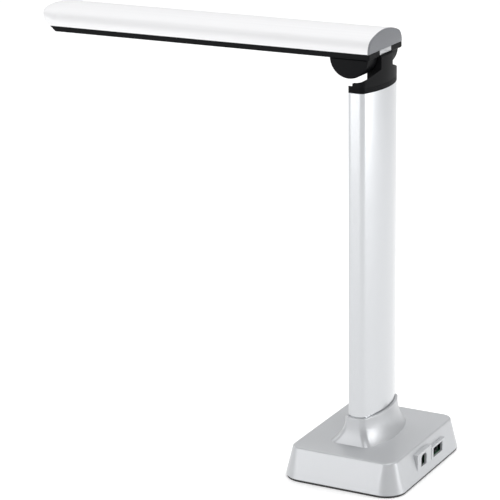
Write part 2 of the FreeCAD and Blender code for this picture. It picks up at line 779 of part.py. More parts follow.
def make_arm_tray():
    """The black underside of the arm: a shallow tray with openings for the optics and the hinge."""
    body = new_body("arm_tray")
    back = "arm_back - 0.2"
    side = [
        (back, "arm_seam"),
        ("arm_tip_start - 4.7", "arm_seam"),
        ("arm_tip_start - 1.4", "arm_low + 1.4"),
        ("arm_tip_start + 2", "arm_low"),
        (back, "arm_low"),
    ]
    pad(body, sketch(body, "XZ_Plane", [side]), "2 * (arm_half_width - 0.2)", side="Symmetric")
    inside = rectangle(
        "arm_tip_start + 2",
        "-(arm_half_width - 0.2 - arm_wall)",
        "arm_back - 0.2 - arm_wall",
        "arm_half_width - 0.2 - arm_wall",
    )
    pocket(body, sketch(body, "XY_Plane", [inside], offset="arm_low + tray_floor"), reverse=True)
    slot = rectangle("slot_front", "-cheek_inner", "arm_back + 1", "cheek_inner")
    pocket(body, sketch(body, "XY_Plane", [slot], offset="arm_low - 1"), reverse=True)
    for sign in ("", "-"):
        near, far = f"{sign}(cheek_inner - 1)", f"{sign}(pin_half_length + 2.2)"
        low, high = (near, far) if sign == "" else (far, near)
        notch = rectangle("axis_across - 7.2", low, "axis_across + 7.2", high)
        pocket(body, sketch(body, "XY_Plane", [notch], offset="arm_low - 1"), reverse=True)
    screw_holes = []
    for along in (CHEEK_SCREW_ALONG, f"-{CHEEK_SCREW_ALONG}"):
        screw_holes += [(across, along, "screw_shaft + fit_gap") for across in CHEEK_SCREWS_ACROSS]
    pocket(body, sketch(body, "XY_Plane", circles=screw_holes, offset="arm_low - 1"), reverse=True)
    make_tray_windows(body)


def make_tray_windows(body):
    """Open the tray for the lens window, the two lamp windows, the button and the clamp screws."""
    sight = [("lens_across", "0", "window_radius - 2")]
    pocket(body, sketch(body, "XY_Plane", circles=sight, offset="arm_low - 1"), reverse=True)
    ledge = [("lens_across", "0", "window_radius + running_gap")]
    pocket(body, sketch(body, "XY_Plane", circles=ledge, offset="arm_low"), "window_depth", reverse=True)
    lamps = []
    for along in ("lamp_along", "-lamp_along"):
        lamps.append(
            rectangle(
                "lamp_across - lamp_length / 2",
                f"{along} - lamp_width / 2",
                "lamp_across + lamp_length / 2",
                f"{along} + lamp_width / 2",
            )
        )
    pocket(body, sketch(body, "XY_Plane", lamps, offset="arm_low - 1"), reverse=True)
    round_holes = [("button_across", "0", "button_radius + fit_gap")]
    for across, along in TRAY_SCREW_SPOTS:
        round_holes.append((across, along, "screw_shaft + fit_gap"))
    pocket(body, sketch(body, "XY_Plane", circles=round_holes, offset="arm_low - 1"), reverse=True)
    sinks = [(across, along, "screw_head + running_gap") for across, along in TRAY_SCREW_SPOTS]
    sink_sketch = sketch(body, "XY_Plane", circles=sinks, offset="arm_low")
    pocket(body, sink_sketch, "tray_screw_head + 0.2", reverse=True)


def make_end_cap():
    """The grey plate that closes the hinge end of the arm, with a tab that covers the lug."""
    body = new_body("arm_end_cap")
    pad(body, sketch(body, "YZ_Plane", [oval_section("0")], offset="arm_back"), "arm_cap", reverse=True)
    tab = rectangle("-(cheek_inner - 0.4)", "tab_low", "cheek_inner - 0.4", "arm_seam + 1")
    pad(body, sketch(body, "YZ_Plane", [tab], offset="arm_back"), "arm_cap", reverse=True)


def make_tip_cap():
    """The moulded tip of the arm: rounded in plan and undercut like a bow."""
    body = new_body("arm_tip_cap")
    pad(body, sketch(body, "YZ_Plane", [oval_section("0")], offset="arm_tip"), "arm_tip_start - arm_tip")
    bow = [
        ("arm_tip - 2", "arm_low"),
        ("arm_tip_start - 4.7", "arm_low"),
        ("arm_tip_start - 4.7", "arm_seam"),
        ("arm_tip_start - 10", "arm_seam + 5.1"),
        ("arm_tip_start - 14", "arm_top - 4.6"),
        ("arm_tip", "arm_top - 1.6"),
        ("arm_tip - 2", "arm_top - 1.6"),
    ]
    pocket(body, sketch(body, "XZ_Plane", [bow]), side="Symmetric")
    for sign in (1, -1):
        mark = "" if sign > 0 else "-"
        edge, beyond = f"{mark}arm_half_width", f"{mark}(arm_half_width + 4)"
        turn = "tip_corner" if sign < 0 else "-tip_corner"
        corner = [
            ("arm_tip - 4", f"{mark}8"),
            ("arm_tip", f"{mark}8"),
            ("arm_tip + 2.4", f"{mark}(arm_half_width - 6.6)", turn),
            ("arm_tip + 10.5", edge),
            ("arm_tip + 10.5", beyond),
            ("arm_tip - 4", beyond),
        ]
        pocket(body, sketch(body, "XY_Plane", [corner]), reverse=True)
    plug = rectangle("-12", "arm_seam + 2.2", "12", "arm_top - 4")
    pad(body, sketch(body, "YZ_Plane", [plug], offset="arm_tip_start"), "3")


def make_camera():
    """The camera: board, housing, barrel, glass and the window set in the tray."""
    floor = "(arm_low + tray_floor)"
    board = box("camera_pcb", ("lens_across - 14", "-13.5", f"{floor} + 6"), ("28", "27", "1.6"))
    keep(board, "camera_board")
    hood = box("hood", ("lens_across - 9", "-9", floor), ("18", "18", "6"))
    bore = cylinder("hood_bore", ("lens_across", "0", floor), "6.5 + running_gap", "10")
    keep(cut("hood", hood, bore), "camera_housing")
    barrel = cylinder("barrel_rod", ("lens_across", "0", f"{floor} + 0.2"), "6.5", "5.6")
    eye = cylinder("barrel_eye", ("lens_across", "0", floor), "4 + running_gap", "2.2")
    keep(cut("barrel", barrel, eye), "lens_barrel")
    keep(cylinder("glass", ("lens_across", "0", f"{floor} + 0.6"), "4", "1.6"), "lens_glass")
    low = ("lens_across", "0", "arm_low + 0.1")
    keep(cylinder("window", low, "window_radius", "window_depth - 0.1"), "lens_window")


def make_lamps():
    """The lamp board with two light-emitting chips and the two diffusers under them."""
    floor = "(arm_low + tray_floor)"
    keep(box("lamp_pcb", ("lamp_across - 6", "-20", f"{floor} + 2.6"), ("12", "40", "1.2")), "led_board")
    chips, covers = [], []
    for along in ("lamp_along", "-lamp_along"):
        chip = box("chip", ("lamp_across - 1.75", f"{along} - 1.75", f"{floor} + 1.6"), ("3.5", "3.5", "1"))
        chips.append(chip)
        low = ("lamp_across - lamp_length / 2 + 0.05", f"{along} - lamp_width / 2 + 0.05", "arm_low + 0.1")
        covers.append(box("diffuser", low, ("lamp_length - 0.1", "lamp_width - 0.1", "tray_floor + 0.4")))
    group("led_chips", chips)
    group("led_diffusers", covers)


def make_button():
    """The light button in the tray, and the switch that it presses."""
    floor = "(arm_low + tray_floor)"
    face = cylinder("button_face", ("button_across", "0", "arm_low - 0"), "button_radius", "tray_floor + 0.4")
    flange = cylinder("button_flange", ("button_across", "0", f"{floor} + 0.3"), "button_radius + 1.5", "0.8")
    keep(fuse("button", face, flange), "light_button")
    keep(box("switch", ("button_across - 4", "-4", f"{floor} + 2.2"), ("8", "8", "3")), "button_switch")


def make_arm_fasteners():
    """The tray's screws, the cheek screws and the ribbon cable inside the arm."""
    seat, length = "arm_low + tray_screw_head + 0.2", "rib_low + 2 - arm_low"
    screws("arm_screws", TRAY_SCREW_SPOTS, seat, length, head_up=False, head_height="tray_screw_head")
    spots = []
    for along in (CHEEK_SCREW_ALONG, f"-{CHEEK_SCREW_ALONG}"):
        spots += [(across, along) for across in CHEEK_SCREWS_ACROSS]
    screws("cheek_screws", spots, "arm_low + tray_floor", "8")
    ribbon = box(
        "ribbon",
        ("lens_across + 14.2", "-cable_width / 2", "arm_low + tray_floor + 7"),
        ("slot_front - lens_across - 16", "cable_width", "cable_height"),
    )
    keep(ribbon, "arm_cable")


# ------------------------------------------------------------------------------ build and export
def check_document():
    """Stop if any object failed, or if a sub-part has no valid shape."""
    for item in document.Objects:
        if "Invalid" in item.State or "Error" in item.State:
            raise RuntimeError(f"{item.Label} failed: {item.State}")
    for node in NODES:
        if node.Shape.isNull() or not node.Shape.isValid() or not node.Shape.Solids:
            raise RuntimeError(f"{node.Label} has no valid solid")


def export_nodes():
    """Write each sub-part to its own STEP file."""
    os.makedirs("parts", exist_ok=True)
    for node in NODES:
        node.Shape.exportStep(f"parts/{node.Label}.step")
        print(f"{node.Label:22s} {len(node.Shape.Solids)} solids {node.Shape.Volume / 1000:8.2f} cm3")


SIZES = make_sheet()
make_rubber_pad()
make_base_plate()
make_base_cover()
make_ballast()
make_sockets()
make_base_screws()
make_boot()
make_column()
make_foot()
make_column_cable()
make_bracket()
make_hinge_hardware()
make_cheek("left_hinge_cheek", 1)
make_cheek("right_hinge_cheek", -1)
make_arm_shell()
make_arm_tray()
make_end_cap()
make_tip_cap()
make_camera()
make_lamps()
make_button()
make_arm_fasteners()
document.recompute()
check_document()
export_nodes()
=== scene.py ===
"""Looks of the folding document camera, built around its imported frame, in metres.

The column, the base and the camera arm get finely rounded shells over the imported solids, the
sockets, optics and screws get their small detail, and every finish is a procedural material.
"""

import json
import logging
import math
from abc import ABC, abstractmethod
from collections.abc import Sequence
from dataclasses import dataclass, field
from enum import Enum

import bmesh
import bpy
from mathutils import Euler, Matrix, Vector

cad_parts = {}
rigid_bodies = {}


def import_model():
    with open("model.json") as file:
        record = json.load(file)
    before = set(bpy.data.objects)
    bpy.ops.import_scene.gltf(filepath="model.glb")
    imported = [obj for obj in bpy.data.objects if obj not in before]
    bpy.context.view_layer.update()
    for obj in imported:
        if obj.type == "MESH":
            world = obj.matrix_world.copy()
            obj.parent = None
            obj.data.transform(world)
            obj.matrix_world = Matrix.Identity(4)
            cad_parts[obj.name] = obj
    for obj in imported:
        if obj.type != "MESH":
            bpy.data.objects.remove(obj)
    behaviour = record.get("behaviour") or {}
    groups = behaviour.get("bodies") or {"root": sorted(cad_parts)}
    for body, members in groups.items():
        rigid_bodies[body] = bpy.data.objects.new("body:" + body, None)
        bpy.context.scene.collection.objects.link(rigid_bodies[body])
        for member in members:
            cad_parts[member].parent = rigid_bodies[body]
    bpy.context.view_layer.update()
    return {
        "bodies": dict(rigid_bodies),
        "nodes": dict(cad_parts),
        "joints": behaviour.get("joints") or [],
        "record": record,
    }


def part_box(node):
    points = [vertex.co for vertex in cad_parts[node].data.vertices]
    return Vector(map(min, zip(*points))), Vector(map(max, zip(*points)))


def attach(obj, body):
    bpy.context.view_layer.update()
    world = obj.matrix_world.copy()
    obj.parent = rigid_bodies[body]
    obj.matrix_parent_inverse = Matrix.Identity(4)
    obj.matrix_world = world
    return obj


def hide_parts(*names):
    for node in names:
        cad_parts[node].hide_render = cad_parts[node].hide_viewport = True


LOG = logging.getLogger("document_camera")
Point = tuple[float, float]
Outline = list[Point]
Colour = tuple[float, float, float]

FULL_TURN = 2 * math.pi
CORNER_STEPS = 10
ROUND_STEPS = 64
SMOOTH_ANGLE = math.radians(32)
MERGE_DISTANCE = 1e-6
SHORTEST_EDGE = 1e-7
AXIS_REACH = 1e-5
MITRE_LIMIT = 0.3
CLEAR = 0.001  # how far a cutter runs past the face that it opens


# ---------------------------------------------------------------------------- outlines
def arc(centre: Point, radius: float, start: float, end: float, steps: int = CORNER_STEPS) -> Outline:
    """Sample an arc.

    Args:
        centre: The arc's centre.
        radius: Its radius.
        start: The angle where it starts, in degrees.
        end: The angle where it ends, in degrees.
        steps: How many straight pieces it has.

    Returns:
        The points, both ends included.
    """
    angles = [math.radians(start + (end - start) * index / steps) for index in range(steps + 1)]
    return [(centre[0] + radius * math.cos(a), centre[1] + radius * math.sin(a)) for a in angles]


def circle(centre: Point, radius: float, steps: int = ROUND_STEPS) -> Outline:
    """Return a closed circle, counter-clockwise."""
    return arc(centre, radius, 0, 360, steps)[:-1]


def rounded_box(low: Point, high: Point, radii: Sequence[float]) -> Outline:
    """Return a rectangle with round corners.

    Args:
        low: Its lowest corner.
        high: Its highest corner.
        radii: Corner radii, counter-clockwise from the lowest corner, or one for all four.

    Returns:
        The outline, counter-clockwise.
    """
    first, second, third, fourth = radii if len(radii) == 4 else [radii[0]] * 4
    return [
        *arc((low[0] + first, low[1] + first), first, 180, 270),
        *arc((high[0] - second, low[1] + second), second, 270, 360),
        *arc((high[0] - third, high[1] - third), third, 0, 90),
        *arc((low[0] + fourth, high[1] - fourth), fourth, 90, 180),
    ]


def centred_box(length: float, width: float, corner: float) -> Outline:
    """Return a rounded rectangle centred on the origin."""
    return rounded_box((-length / 2, -width / 2), (length / 2, width / 2), [corner])


def offset(outline: Outline, distance: float) -> Outline:
    """Move a counter-clockwise outline outwards by a distance, or inwards by a negative one."""
    moved = []
    count = len(outline)
    for index, (x, y) in enumerate(outline):
        before = Vector(outline[index - 1])
        after = Vector(outline[(index + 1) % count])
        here = Vector((x, y))
        first, second = here - before, after - here
        first = first if first.length > SHORTEST_EDGE / 100 else second
        second = second if second.length > SHORTEST_EDGE / 100 else first
        normal = Vector((first.y, -first.x)).normalized() + Vector((second.y, -second.x)).normalized()
        scale = distance / max(normal.length_squared / 2, MITRE_LIMIT)
        moved.append((x + normal.x * scale, y + normal.y * scale))
    return moved


@dataclass(frozen=True)
class DSection:
    """A D seen from above: flat front and sides, and a shallow arc for the back."""

    front: float
    half_width: float
    shoulder: float
    apex: float
    corner: float

    @property
    def back_radius(self) -> float:
        """Radius of the arc through both shoulders and the apex."""
        rise = self.apex - self.shoulder
        return (self.half_width**2 + rise**2) / (2 * rise)

    def outline(self) -> Outline:
        """Return the section with its four corners rounded, counter-clockwise."""
        side = self.half_width - self.corner
        centre = self.apex - self.back_radius
        turn = math.asin(side / (self.back_radius - self.corner))
        shoulder = centre + math.cos(turn) * (self.back_radius - self.corner)
        slope = math.degrees(turn)
        return [
            *arc((self.front + self.corner, -side), self.corner, 180, 270),
            *arc((shoulder, -side), self.corner, 270, 360 - slope),
            *arc((centre, 0), self.back_radius, -slope, slope, 3 * CORNER_STEPS)[1:-1],
            *arc((shoulder, side), self.corner, slope, 90),
            *arc((self.front + self.corner, side), self.corner, 90, 180),
        ]

    def toward(self, other: "DSection", share: float) -> "DSection":
        """Return the section that lies a share of the way to another one."""
        names = ("front", "half_width", "shoulder", "apex", "corner")
        mixed = [getattr(self, n) + (getattr(other, n) - getattr(self, n)) * share for n in names]
        return DSection(*mixed)

    def grown(self, distance: float) -> "DSection":
        """Return the section grown on every side."""
        return DSection(
            self.front - distance,
            self.half_width + distance,
            self.shoulder + distance / 2,
            self.apex + distance,
            max(self.corner + distance, 0.0004),
        )


@dataclass(frozen=True)
class HalfOval:
    """The arm's section: a wide crown, tight shoulders and straight sides, open at the bottom."""

    half_width: float = 0.0268
    top: float = 0.3239
    crown: float = 0.060
    shoulder: float = 0.009

    def upper(self, inset: float = 0.0) -> Outline:
        """Return the line over the top, from the foot of the right side to that of the left.

        Args:
            inset: How far inside the outer face the line runs.

        Returns:
            Points across and up, counter-clockwise and without the bottom.
        """
        side = self.half_width - self.shoulder
        span = self.crown - self.shoulder
        rise = math.sqrt(span**2 - side**2)
        middle = self.top - self.crown
        lean = math.degrees(math.atan2(rise, side))
        radius = self.shoulder - inset
        return [
            *arc((side, middle + rise), radius, 0, lean),
            *arc((0, middle), self.crown - inset, lean, 180 - lean, 4 * CORNER_STEPS)[1:-1],
            *arc((-side, middle + rise), radius, 180 - lean, 180),
        ]

    def closed(self, low: float) -> Outline:
        """Return the section closed along a flat bottom at a height."""
        return [(-self.half_width, low), (self.half_width, low), *self.upper()]


# ---------------------------------------------------------------------------- meshes
class Axis(Enum):
    """The direction along which an outline is drawn out."""

    X = "x"
    Y = "y"
    Z = "z"

    def point(self, across: float, up: float, along: float) -> Vector:
        """Return the place of an outline's point at a distance along the axis."""
        if self is Axis.X:
            return Vector((along, across, up))
        if self is Axis.Y:
            return Vector((across, along, up))
        return Vector((across, up, along))


def new_object(name: str, mesh: bpy.types.Mesh) -> bpy.types.Object:
    """Link a new object for a mesh."""
    piece = bpy.data.objects.new(name, mesh)
    bpy.context.scene.collection.objects.link(piece)
    return piece


def tidy(mesh: bpy.types.Mesh, angle: float = SMOOTH_ANGLE) -> None:
    """Merge doubles, turn the normals outwards and smooth all but the sharp edges."""
    work = bmesh.new()
    work.from_mesh(mesh)
    bmesh.ops.remove_doubles(work, verts=work.verts, dist=MERGE_DISTANCE)
    bmesh.ops.dissolve_degenerate(work, edges=work.edges, dist=SHORTEST_EDGE)
    bmesh.ops.recalc_face_normals(work, faces=work.faces)
    work.to_mesh(mesh)
    work.free()
    mesh.shade_smooth()
    mesh.set_sharp_from_angle(angle=angle)


def loft(name: str, rings: Sequence[Sequence[Vector]], closed: bool = False) -> bpy.types.Object:
    """Skin a row of rings with the same number of points.

    Args:
        name: The piece's name.
        rings: The rings, in order.
        closed: Whether the last ring joins the first, as in a tube's wall, in place of two caps.

    Returns:
        The new piece.
    """
    work = bmesh.new()
    rows = [[work.verts.new(point) for point in ring] for ring in rings]
    pairs = list(zip(rows, rows[1:]))
    if closed:
        pairs.append((rows[-1], rows[0]))
    count = len(rows[0])
    for low, high in pairs:
        for index in range(count):
            following = (index + 1) % count
            work.faces.new((low[index], low[following], high[following], high[index]))
    if not closed:
        work.faces.new(list(reversed(rows[0])))
        work.faces.new(rows[-1])
    mesh = bpy.data.meshes.new(name)
    work.to_mesh(mesh)
    work.free()
    tidy(mesh)
    return new_object(name, mesh)


def quarter_round(edge: float, radius: float, sign: int, steps: int) -> list[tuple[float, float]]:
    """Return the places and insets along a rounded rim, from the side to the end face.

    Args:
        edge: Where the end face is.
        radius: The rim's radius, or 0 for a sharp rim.
        sign: 1 at the low end and -1 at the high end.
        steps: Straight pieces in the rim.

    Returns:
        Pairs of place and inset, without the point where the rim leaves the side.
    """
    if radius <= 0:
        return []
    angles = [math.pi / 2 * index / steps for index in range(1, steps + 1)]
    return [(edge + sign * radius * (1 - math.sin(a)), radius * (1 - math.cos(a))) for a in angles]


def prism(
    name: str,
    outline: Outline,
    axis: Axis,
    low: float,
    high: float,
    rims: tuple[float, float] = (0.0, 0.0),
    steps: int = 4,
) -> bpy.types.Object:
    """Draw an outline out along an axis, with a rounded rim at each end.

    Args:
        name: The piece's name.
        outline: The section, counter-clockwise.
        axis: The direction of its length.
        low: Where it starts.
        high: Where it ends.
        rims: Rim radii at the low and the high end.
        steps: Straight pieces in each rim.

    Returns:
        The new piece.
    """
    stations = quarter_round(low, rims[0], 1, steps)[::-1]
    stations += [(low + rims[0], 0.0), (high - rims[1], 0.0), *quarter_round(high, rims[1], -1, steps)]
    rings = []
    for along, inset in stations:
        section = offset(outline, -inset) if inset else outline
        rings.append([axis.point(across, up, along) for across, up in section])
    return loft(name, rings)


def turned(name: str, profile: Outline, centre: Vector, steps: int = ROUND_STEPS) -> bpy.types.Object:
    """Turn a closed profile of (radius, height) points about an upright axis through a centre."""
    rings = []
    for index in range(steps):
        angle = FULL_TURN * index / steps
        across, along = math.cos(angle), math.sin(angle)
        rings.append([centre + Vector((r * across, r * along, height)) for r, height in profile])
    return loft(name, rings, closed=True)


def evaluated(piece: bpy.types.Object, name: str) -> bpy.types.Object:
    """Freeze a piece's modifiers into a plain mesh and drop the original.

    Args:
        piece: The piece with live modifiers.
        name: The frozen piece's name.

    Returns:
        The frozen piece.
    """
    bpy.context.view_layer.update()
    graph = bpy.context.evaluated_depsgraph_get()
    mesh = bpy.data.meshes.new_from_object(piece.evaluated_get(graph))
    bpy.data.objects.remove(piece)
    frozen = new_object(name, mesh)
    mesh.name = name
    return frozen


def carve(
    piece: bpy.types.Object,
    tools: Sequence[bpy.types.Object],
    joined: Sequence[bpy.types.Object] = (),
    edge: float = 0.0,
    kept: Sequence[bpy.types.Object] = (),
) -> bpy.types.Object:
    """Join and cut solids, then break the sharp edges.

    Args:
        piece: The solid to work on.
        tools: Solids cut out of it.
        joined: Solids joined to it first.
        edge: The width of the broken edges, or 0 for none.
        kept: Solids that it is trimmed to, before the cuts.

    Returns:
        The finished piece, with the first one's name.
    """
    name = piece.name
    jobs = [("UNION", s) for s in joined] + [("INTERSECT", s) for s in kept]
    jobs += [("DIFFERENCE", s) for s in tools]
    for operation, solid in jobs:
        modifier = piece.modifiers.new(operation.lower(), "BOOLEAN")
        modifier.operation = operation
        modifier.object = solid
        modifier.solver = "EXACT"
    if edge > 0:
        bevel = piece.modifiers.new("edges", "BEVEL")
        bevel.width = edge
        bevel.segments = 2
        bevel.limit_method = "ANGLE"
        bevel.angle_limit = SMOOTH_ANGLE
        bevel.miter_outer = "MITER_ARC"
        bevel.use_clamp_overlap = True
    piece.name = f"{name}_raw"
    done = evaluated(piece, name)
    for _, solid in jobs:
        bpy.data.objects.remove(solid)
    tidy(done.data)
    return done


def weigh_normals(piece: bpy.types.Object) -> bpy.types.Object:
    """Let the large faces set the shading beside narrow ones."""
    name = piece.name
    modifier = piece.modifiers.new("weight", "WEIGHTED_NORMAL")
    modifier.keep_sharp = True
    piece.name = f"{name}_raw"
    return evaluated(piece, name)


# ---------------------------------------------------------------------------- node trees
class NodeTree:
    """A Geometry Nodes tree with named inputs, one output and a finish."""

    def __init__(self, name: str, inputs: dict[str, str], output: str) -> None:
        """Start the tree.

        Args:
            name: The tree's name.
            inputs: The kind of each input, by its name.
            output: The name of the geometry that comes out.
        """
        self.group = bpy.data.node_groups.new(name, "GeometryNodeTree")
        face = self.group.interface
        self.inputs = {}
        for label, kind in inputs.items():
            socket = face.new_socket(label, in_out="INPUT", socket_type=f"NodeSocket{kind}")
            self.inputs[label] = socket.identifier
        face.new_socket(output, in_out="OUTPUT", socket_type="NodeSocketGeometry")
        self.source = self.node("NodeGroupInput")

    def node(self, kind: str, **settings: str) -> bpy.types.Node:
        """Add a node and set its options."""
        made = self.group.nodes.new(kind)
        for option, value in settings.items():
            setattr(made, option, value)
        return made

    def join(self, *links: tuple[bpy.types.Node, str | int, bpy.types.Node, str | int]) -> None:
        """Link outputs to inputs, each given by its node and its socket."""
        for source, out, target, into in links:
            self.group.links.new(source.outputs[out], target.inputs[into])

    def close(self, last: bpy.types.Node, out: str) -> None:
        """End the tree: realize the instances, set the finish and hand out the geometry."""
        realize = self.node("GeometryNodeRealizeInstances")
        paint = self.node("GeometryNodeSetMaterial")
        self.join(
            (last, out, realize, "Geometry"),
            (realize, "Geometry", paint, "Geometry"),
            (self.source, "Finish", paint, "Material"),
            (paint, "Geometry", self.node("NodeGroupOutput"), 0),
        )

    def run(self, piece: bpy.types.Object, name: str, values: dict[str, object]) -> bpy.types.Object:
        """Run the tree on a piece with the given inputs and return the plain mesh."""
        modifier = piece.modifiers.new(self.group.name, "NODES")
        modifier.node_group = self.group
        for label, value in values.items():
            modifier[self.inputs[label]] = value
        return evaluated(piece, name)


class ProfileTree(NodeTree):
    """Geometry Nodes that fill closed loops and draw them out to a straight length."""

    def __init__(self) -> None:
        """Build the tree with inputs for the length, the turn, the place and the finish."""
        kinds = {"Loops": "Geometry", "Length": "Float", "Turn": "Vector", "Place": "Vector"}
        super().__init__("drawn_profile", {**kinds, "Finish": "Material"}, "Solid")
        line = self.node("GeometryNodeMeshToCurve")
        fill = self.node("GeometryNodeFillCurve", mode="NGONS")
        pull = self.node("GeometryNodeExtrudeMesh", mode="FACES")
        pull.inputs["Individual"].default_value = False
        flip = self.node("GeometryNodeFlipFaces")
        both = self.node("GeometryNodeJoinGeometry")
        merge = self.node("GeometryNodeMergeByDistance")
        merge.inputs["Distance"].default_value = MERGE_DISTANCE
        move = self.node("GeometryNodeTransform")
        self.join(
            (self.source, "Loops", line, "Mesh"),
            (line, "Curve", fill, "Curve"),
            (fill, "Mesh", pull, "Mesh"),
            (self.source, "Length", pull, "Offset Scale"),
            (fill, "Mesh", flip, "Mesh"),
            (pull, "Mesh", both, "Geometry"),
            (flip, "Mesh", both, "Geometry"),
            (both, "Geometry", merge, "Geometry"),
            (merge, "Geometry", move, "Geometry"),
            (self.source, "Turn", move, "Rotation"),
            (self.source, "Place", move, "Translation"),
        )
        self.close(move, "Geometry")

    def draw(
        self,
        name: str,
        loops: Sequence[Outline],
        axis: Axis,
        low: float,
        high: float,
        finish: bpy.types.Material,
    ) -> bpy.types.Object:
        """Draw closed loops out between two places along X or Z.

        Args:
            name: The piece's name.
            loops: The outer outline and any holes in it.
            axis: Axis.X for outlines across and up, Axis.Z for outlines seen from above.
            low: Where the piece starts.
            high: Where it ends.
            finish: Its material.

        Returns:
            The new piece, a plain mesh.
        """
        verts: list[tuple[float, float, float]] = []
        edges: list[tuple[int, int]] = []
        for outline in loops:
            start = len(verts)
            verts += [(x, y, 0.0) for x, y in outline]
            count = len(outline)
            edges += [(start + i, start + (i + 1) % count) for i in range(count)]
        mesh = bpy.data.meshes.new(f"{name}_loops")
        mesh.from_pydata(verts, edges, [])
        upright = axis is Axis.Z
        turn = Euler((0, 0, 0)) if upright else Euler((math.pi / 2, 0, math.pi / 2))
        place = (0.0, 0.0, low) if upright else (low, 0.0, 0.0)
        values = {"Length": high - low, "Turn": tuple(turn), "Place": place, "Finish": finish}
        done = self.run(new_object(f"{name}_loops", mesh), name, values)
        tidy(done.data)
        return done


class RepeatTree(NodeTree):
    """Geometry Nodes that set a copy of a part on each point."""

    SEED = 7

    def __init__(self) -> None:
        """Build the tree with inputs for the part, its size and the finish."""
        kinds = {"Points": "Geometry", "Part": "Object", "Size": "Float", "Size Spread": "Float"}
        super().__init__("repeated_part", {**kinds, "Finish": "Material"}, "Parts")
        part = self.node("GeometryNodeObjectInfo")
        part.inputs["As Instance"].default_value = True
        chance = self.node("FunctionNodeRandomValue")
        chance.inputs["Seed"].default_value = self.SEED
        spread = self.node("GeometryNodeInstanceOnPoints")
        for operation, limit in (("SUBTRACT", "Min"), ("ADD", "Max")):
            sums = self.node("ShaderNodeMath", operation=operation)
            self.join((self.source, "Size", sums, 0), (self.source, "Size Spread", sums, 1))
            socket = next(s for s in chance.inputs if s.name == limit and s.type == "VALUE")
            self.group.links.new(sums.outputs[0], socket)
        value = next(s for s in chance.outputs if s.type == "VALUE")
        self.group.links.new(value, spread.inputs["Scale"])
        self.join(
            (self.source, "Part", part, "Object"),
            (self.source, "Points", spread, "Points"),
            (part, "Geometry", spread, "Instance"),
        )
        self.close(spread, "Instances")

    def set_out(
        self,
        name: str,
        part: bpy.types.Object,
        spots: Sequence[Vector],
        finish: bpy.types.Material,
        spread: float = 0.0,
    ) -> bpy.types.Object:
        """Set a copy of a part on each spot and use the part up.

        Args:
            name: The name of the joined piece.
            part: The part, modelled about the origin.
            spots: Where the copies go.
            finish: Their material.
            spread: How much their size varies, as a share.

        Returns:
            One plain mesh with every copy.
        """
        mesh = bpy.data.meshes.new(f"{name}_spots")
        mesh.from_pydata([tuple(spot) for spot in spots], [], [])
        values = {"Part": part, "Size": 1.0, "Size Spread": spread, "Finish": finish}
        done = self.run(new_object(f"{name}_spots", mesh), name, values)
        bpy.data.objects.remove(part)
        done.data.set_sharp_from_angle(angle=SMOOTH_ANGLE)
        return done


# ---------------------------------------------------------------------------- finishes
class Shader:
    """Short calls for building one node material."""

    def __init__(self, name: str) -> None:
        """Start a material with an output and a Principled surface."""
        self.material = bpy.data.materials.new(name)
        self.material.use_nodes = True
        self.tree = self.material.node_tree
        self.tree.nodes.clear()
        self.surface = self.tree.nodes.new("ShaderNodeBsdfPrincipled")
        output = self.tree.nodes.new("ShaderNodeOutputMaterial")
        self.join(self.surface.outputs["BSDF"], output.inputs["Surface"])
        self.coordinates = self.tree.nodes.new("ShaderNodeTexCoord")

    def join(self, source: bpy.types.NodeSocket, target: bpy.types.NodeSocket) -> None:
        """Link two sockets."""
        self.tree.links.new(source, target)

    def noise(self, scale: float, stretch: Colour = (1, 1, 1), detail: float = 4) -> bpy.types.NodeSocket:
        """Return a noise on object coordinates.

        Args:
            scale: Features per metre.
            stretch: Scale along each axis, below 1 where the grain runs long.
            detail: Octaves of finer noise.

        Returns:
            The factor socket.
        """
        mapping = self.tree.nodes.new("ShaderNodeMapping")
        mapping.inputs["Scale"].default_value = stretch
        self.join(self.coordinates.outputs["Object"], mapping.inputs["Vector"])
        noise = self.tree.nodes.new("ShaderNodeTexNoise")
        noise.inputs["Scale"].default_value = scale
        noise.inputs["Detail"].default_value = detail
        self.join(mapping.outputs["Vector"], noise.inputs["Vector"])
        return noise.outputs["Fac"]

    def spread(self, factor: bpy.types.NodeSocket, low: float, high: float) -> bpy.types.NodeSocket:
        """Map a noise onto a range."""
        span = self.tree.nodes.new("ShaderNodeMapRange")
        span.inputs["From Min"].default_value = 0.3
        span.inputs["From Max"].default_value = 0.7
        span.inputs["To Min"].default_value = low
        span.inputs["To Max"].default_value = high
        self.join(factor, span.inputs["Value"])
        return span.outputs["Result"]

    def tint(self, factor: bpy.types.NodeSocket, first: Colour, second: Colour) -> bpy.types.NodeSocket:
        """Mix two colours by a factor."""
        mix = self.tree.nodes.new("ShaderNodeMix")
        mix.data_type = "RGBA"
        sockets = {s.identifier: s for s in mix.inputs}
        sockets["A_Color"].default_value = (*first, 1)
        sockets["B_Color"].default_value = (*second, 1)
        self.join(factor, sockets["Factor_Float"])
        return next(s for s in mix.outputs if s.identifier == "Result_Color")

    def bump(self, height: bpy.types.NodeSocket, strength: float, depth: float) -> None:
        """Raise the surface by a noise."""
        bump = self.tree.nodes.new("ShaderNodeBump")
        bump.inputs["Strength"].default_value = strength
        bump.inputs["Distance"].default_value = depth
        self.join(height, bump.inputs["Height"])
        self.join(bump.outputs["Normal"], self.surface.inputs["Normal"])

    def set(self, **values: float) -> None:
        """Set constant inputs of the surface; underscores stand for spaces."""
        for name, value in values.items():
            self.surface.inputs[name.replace("_", " ")].default_value = value


@dataclass(frozen=True)
class Finish(ABC):
    """A finish with a name and a main colour."""

    name: str
    colour: Colour

    @abstractmethod
    def material(self) -> bpy.types.Material:
        """Build the finish's material."""

    def shade(self, share: float) -> Colour:
        """Return the main colour made lighter or darker by a share."""
        return tuple(min(part * share, 1.0) for part in self.colour)


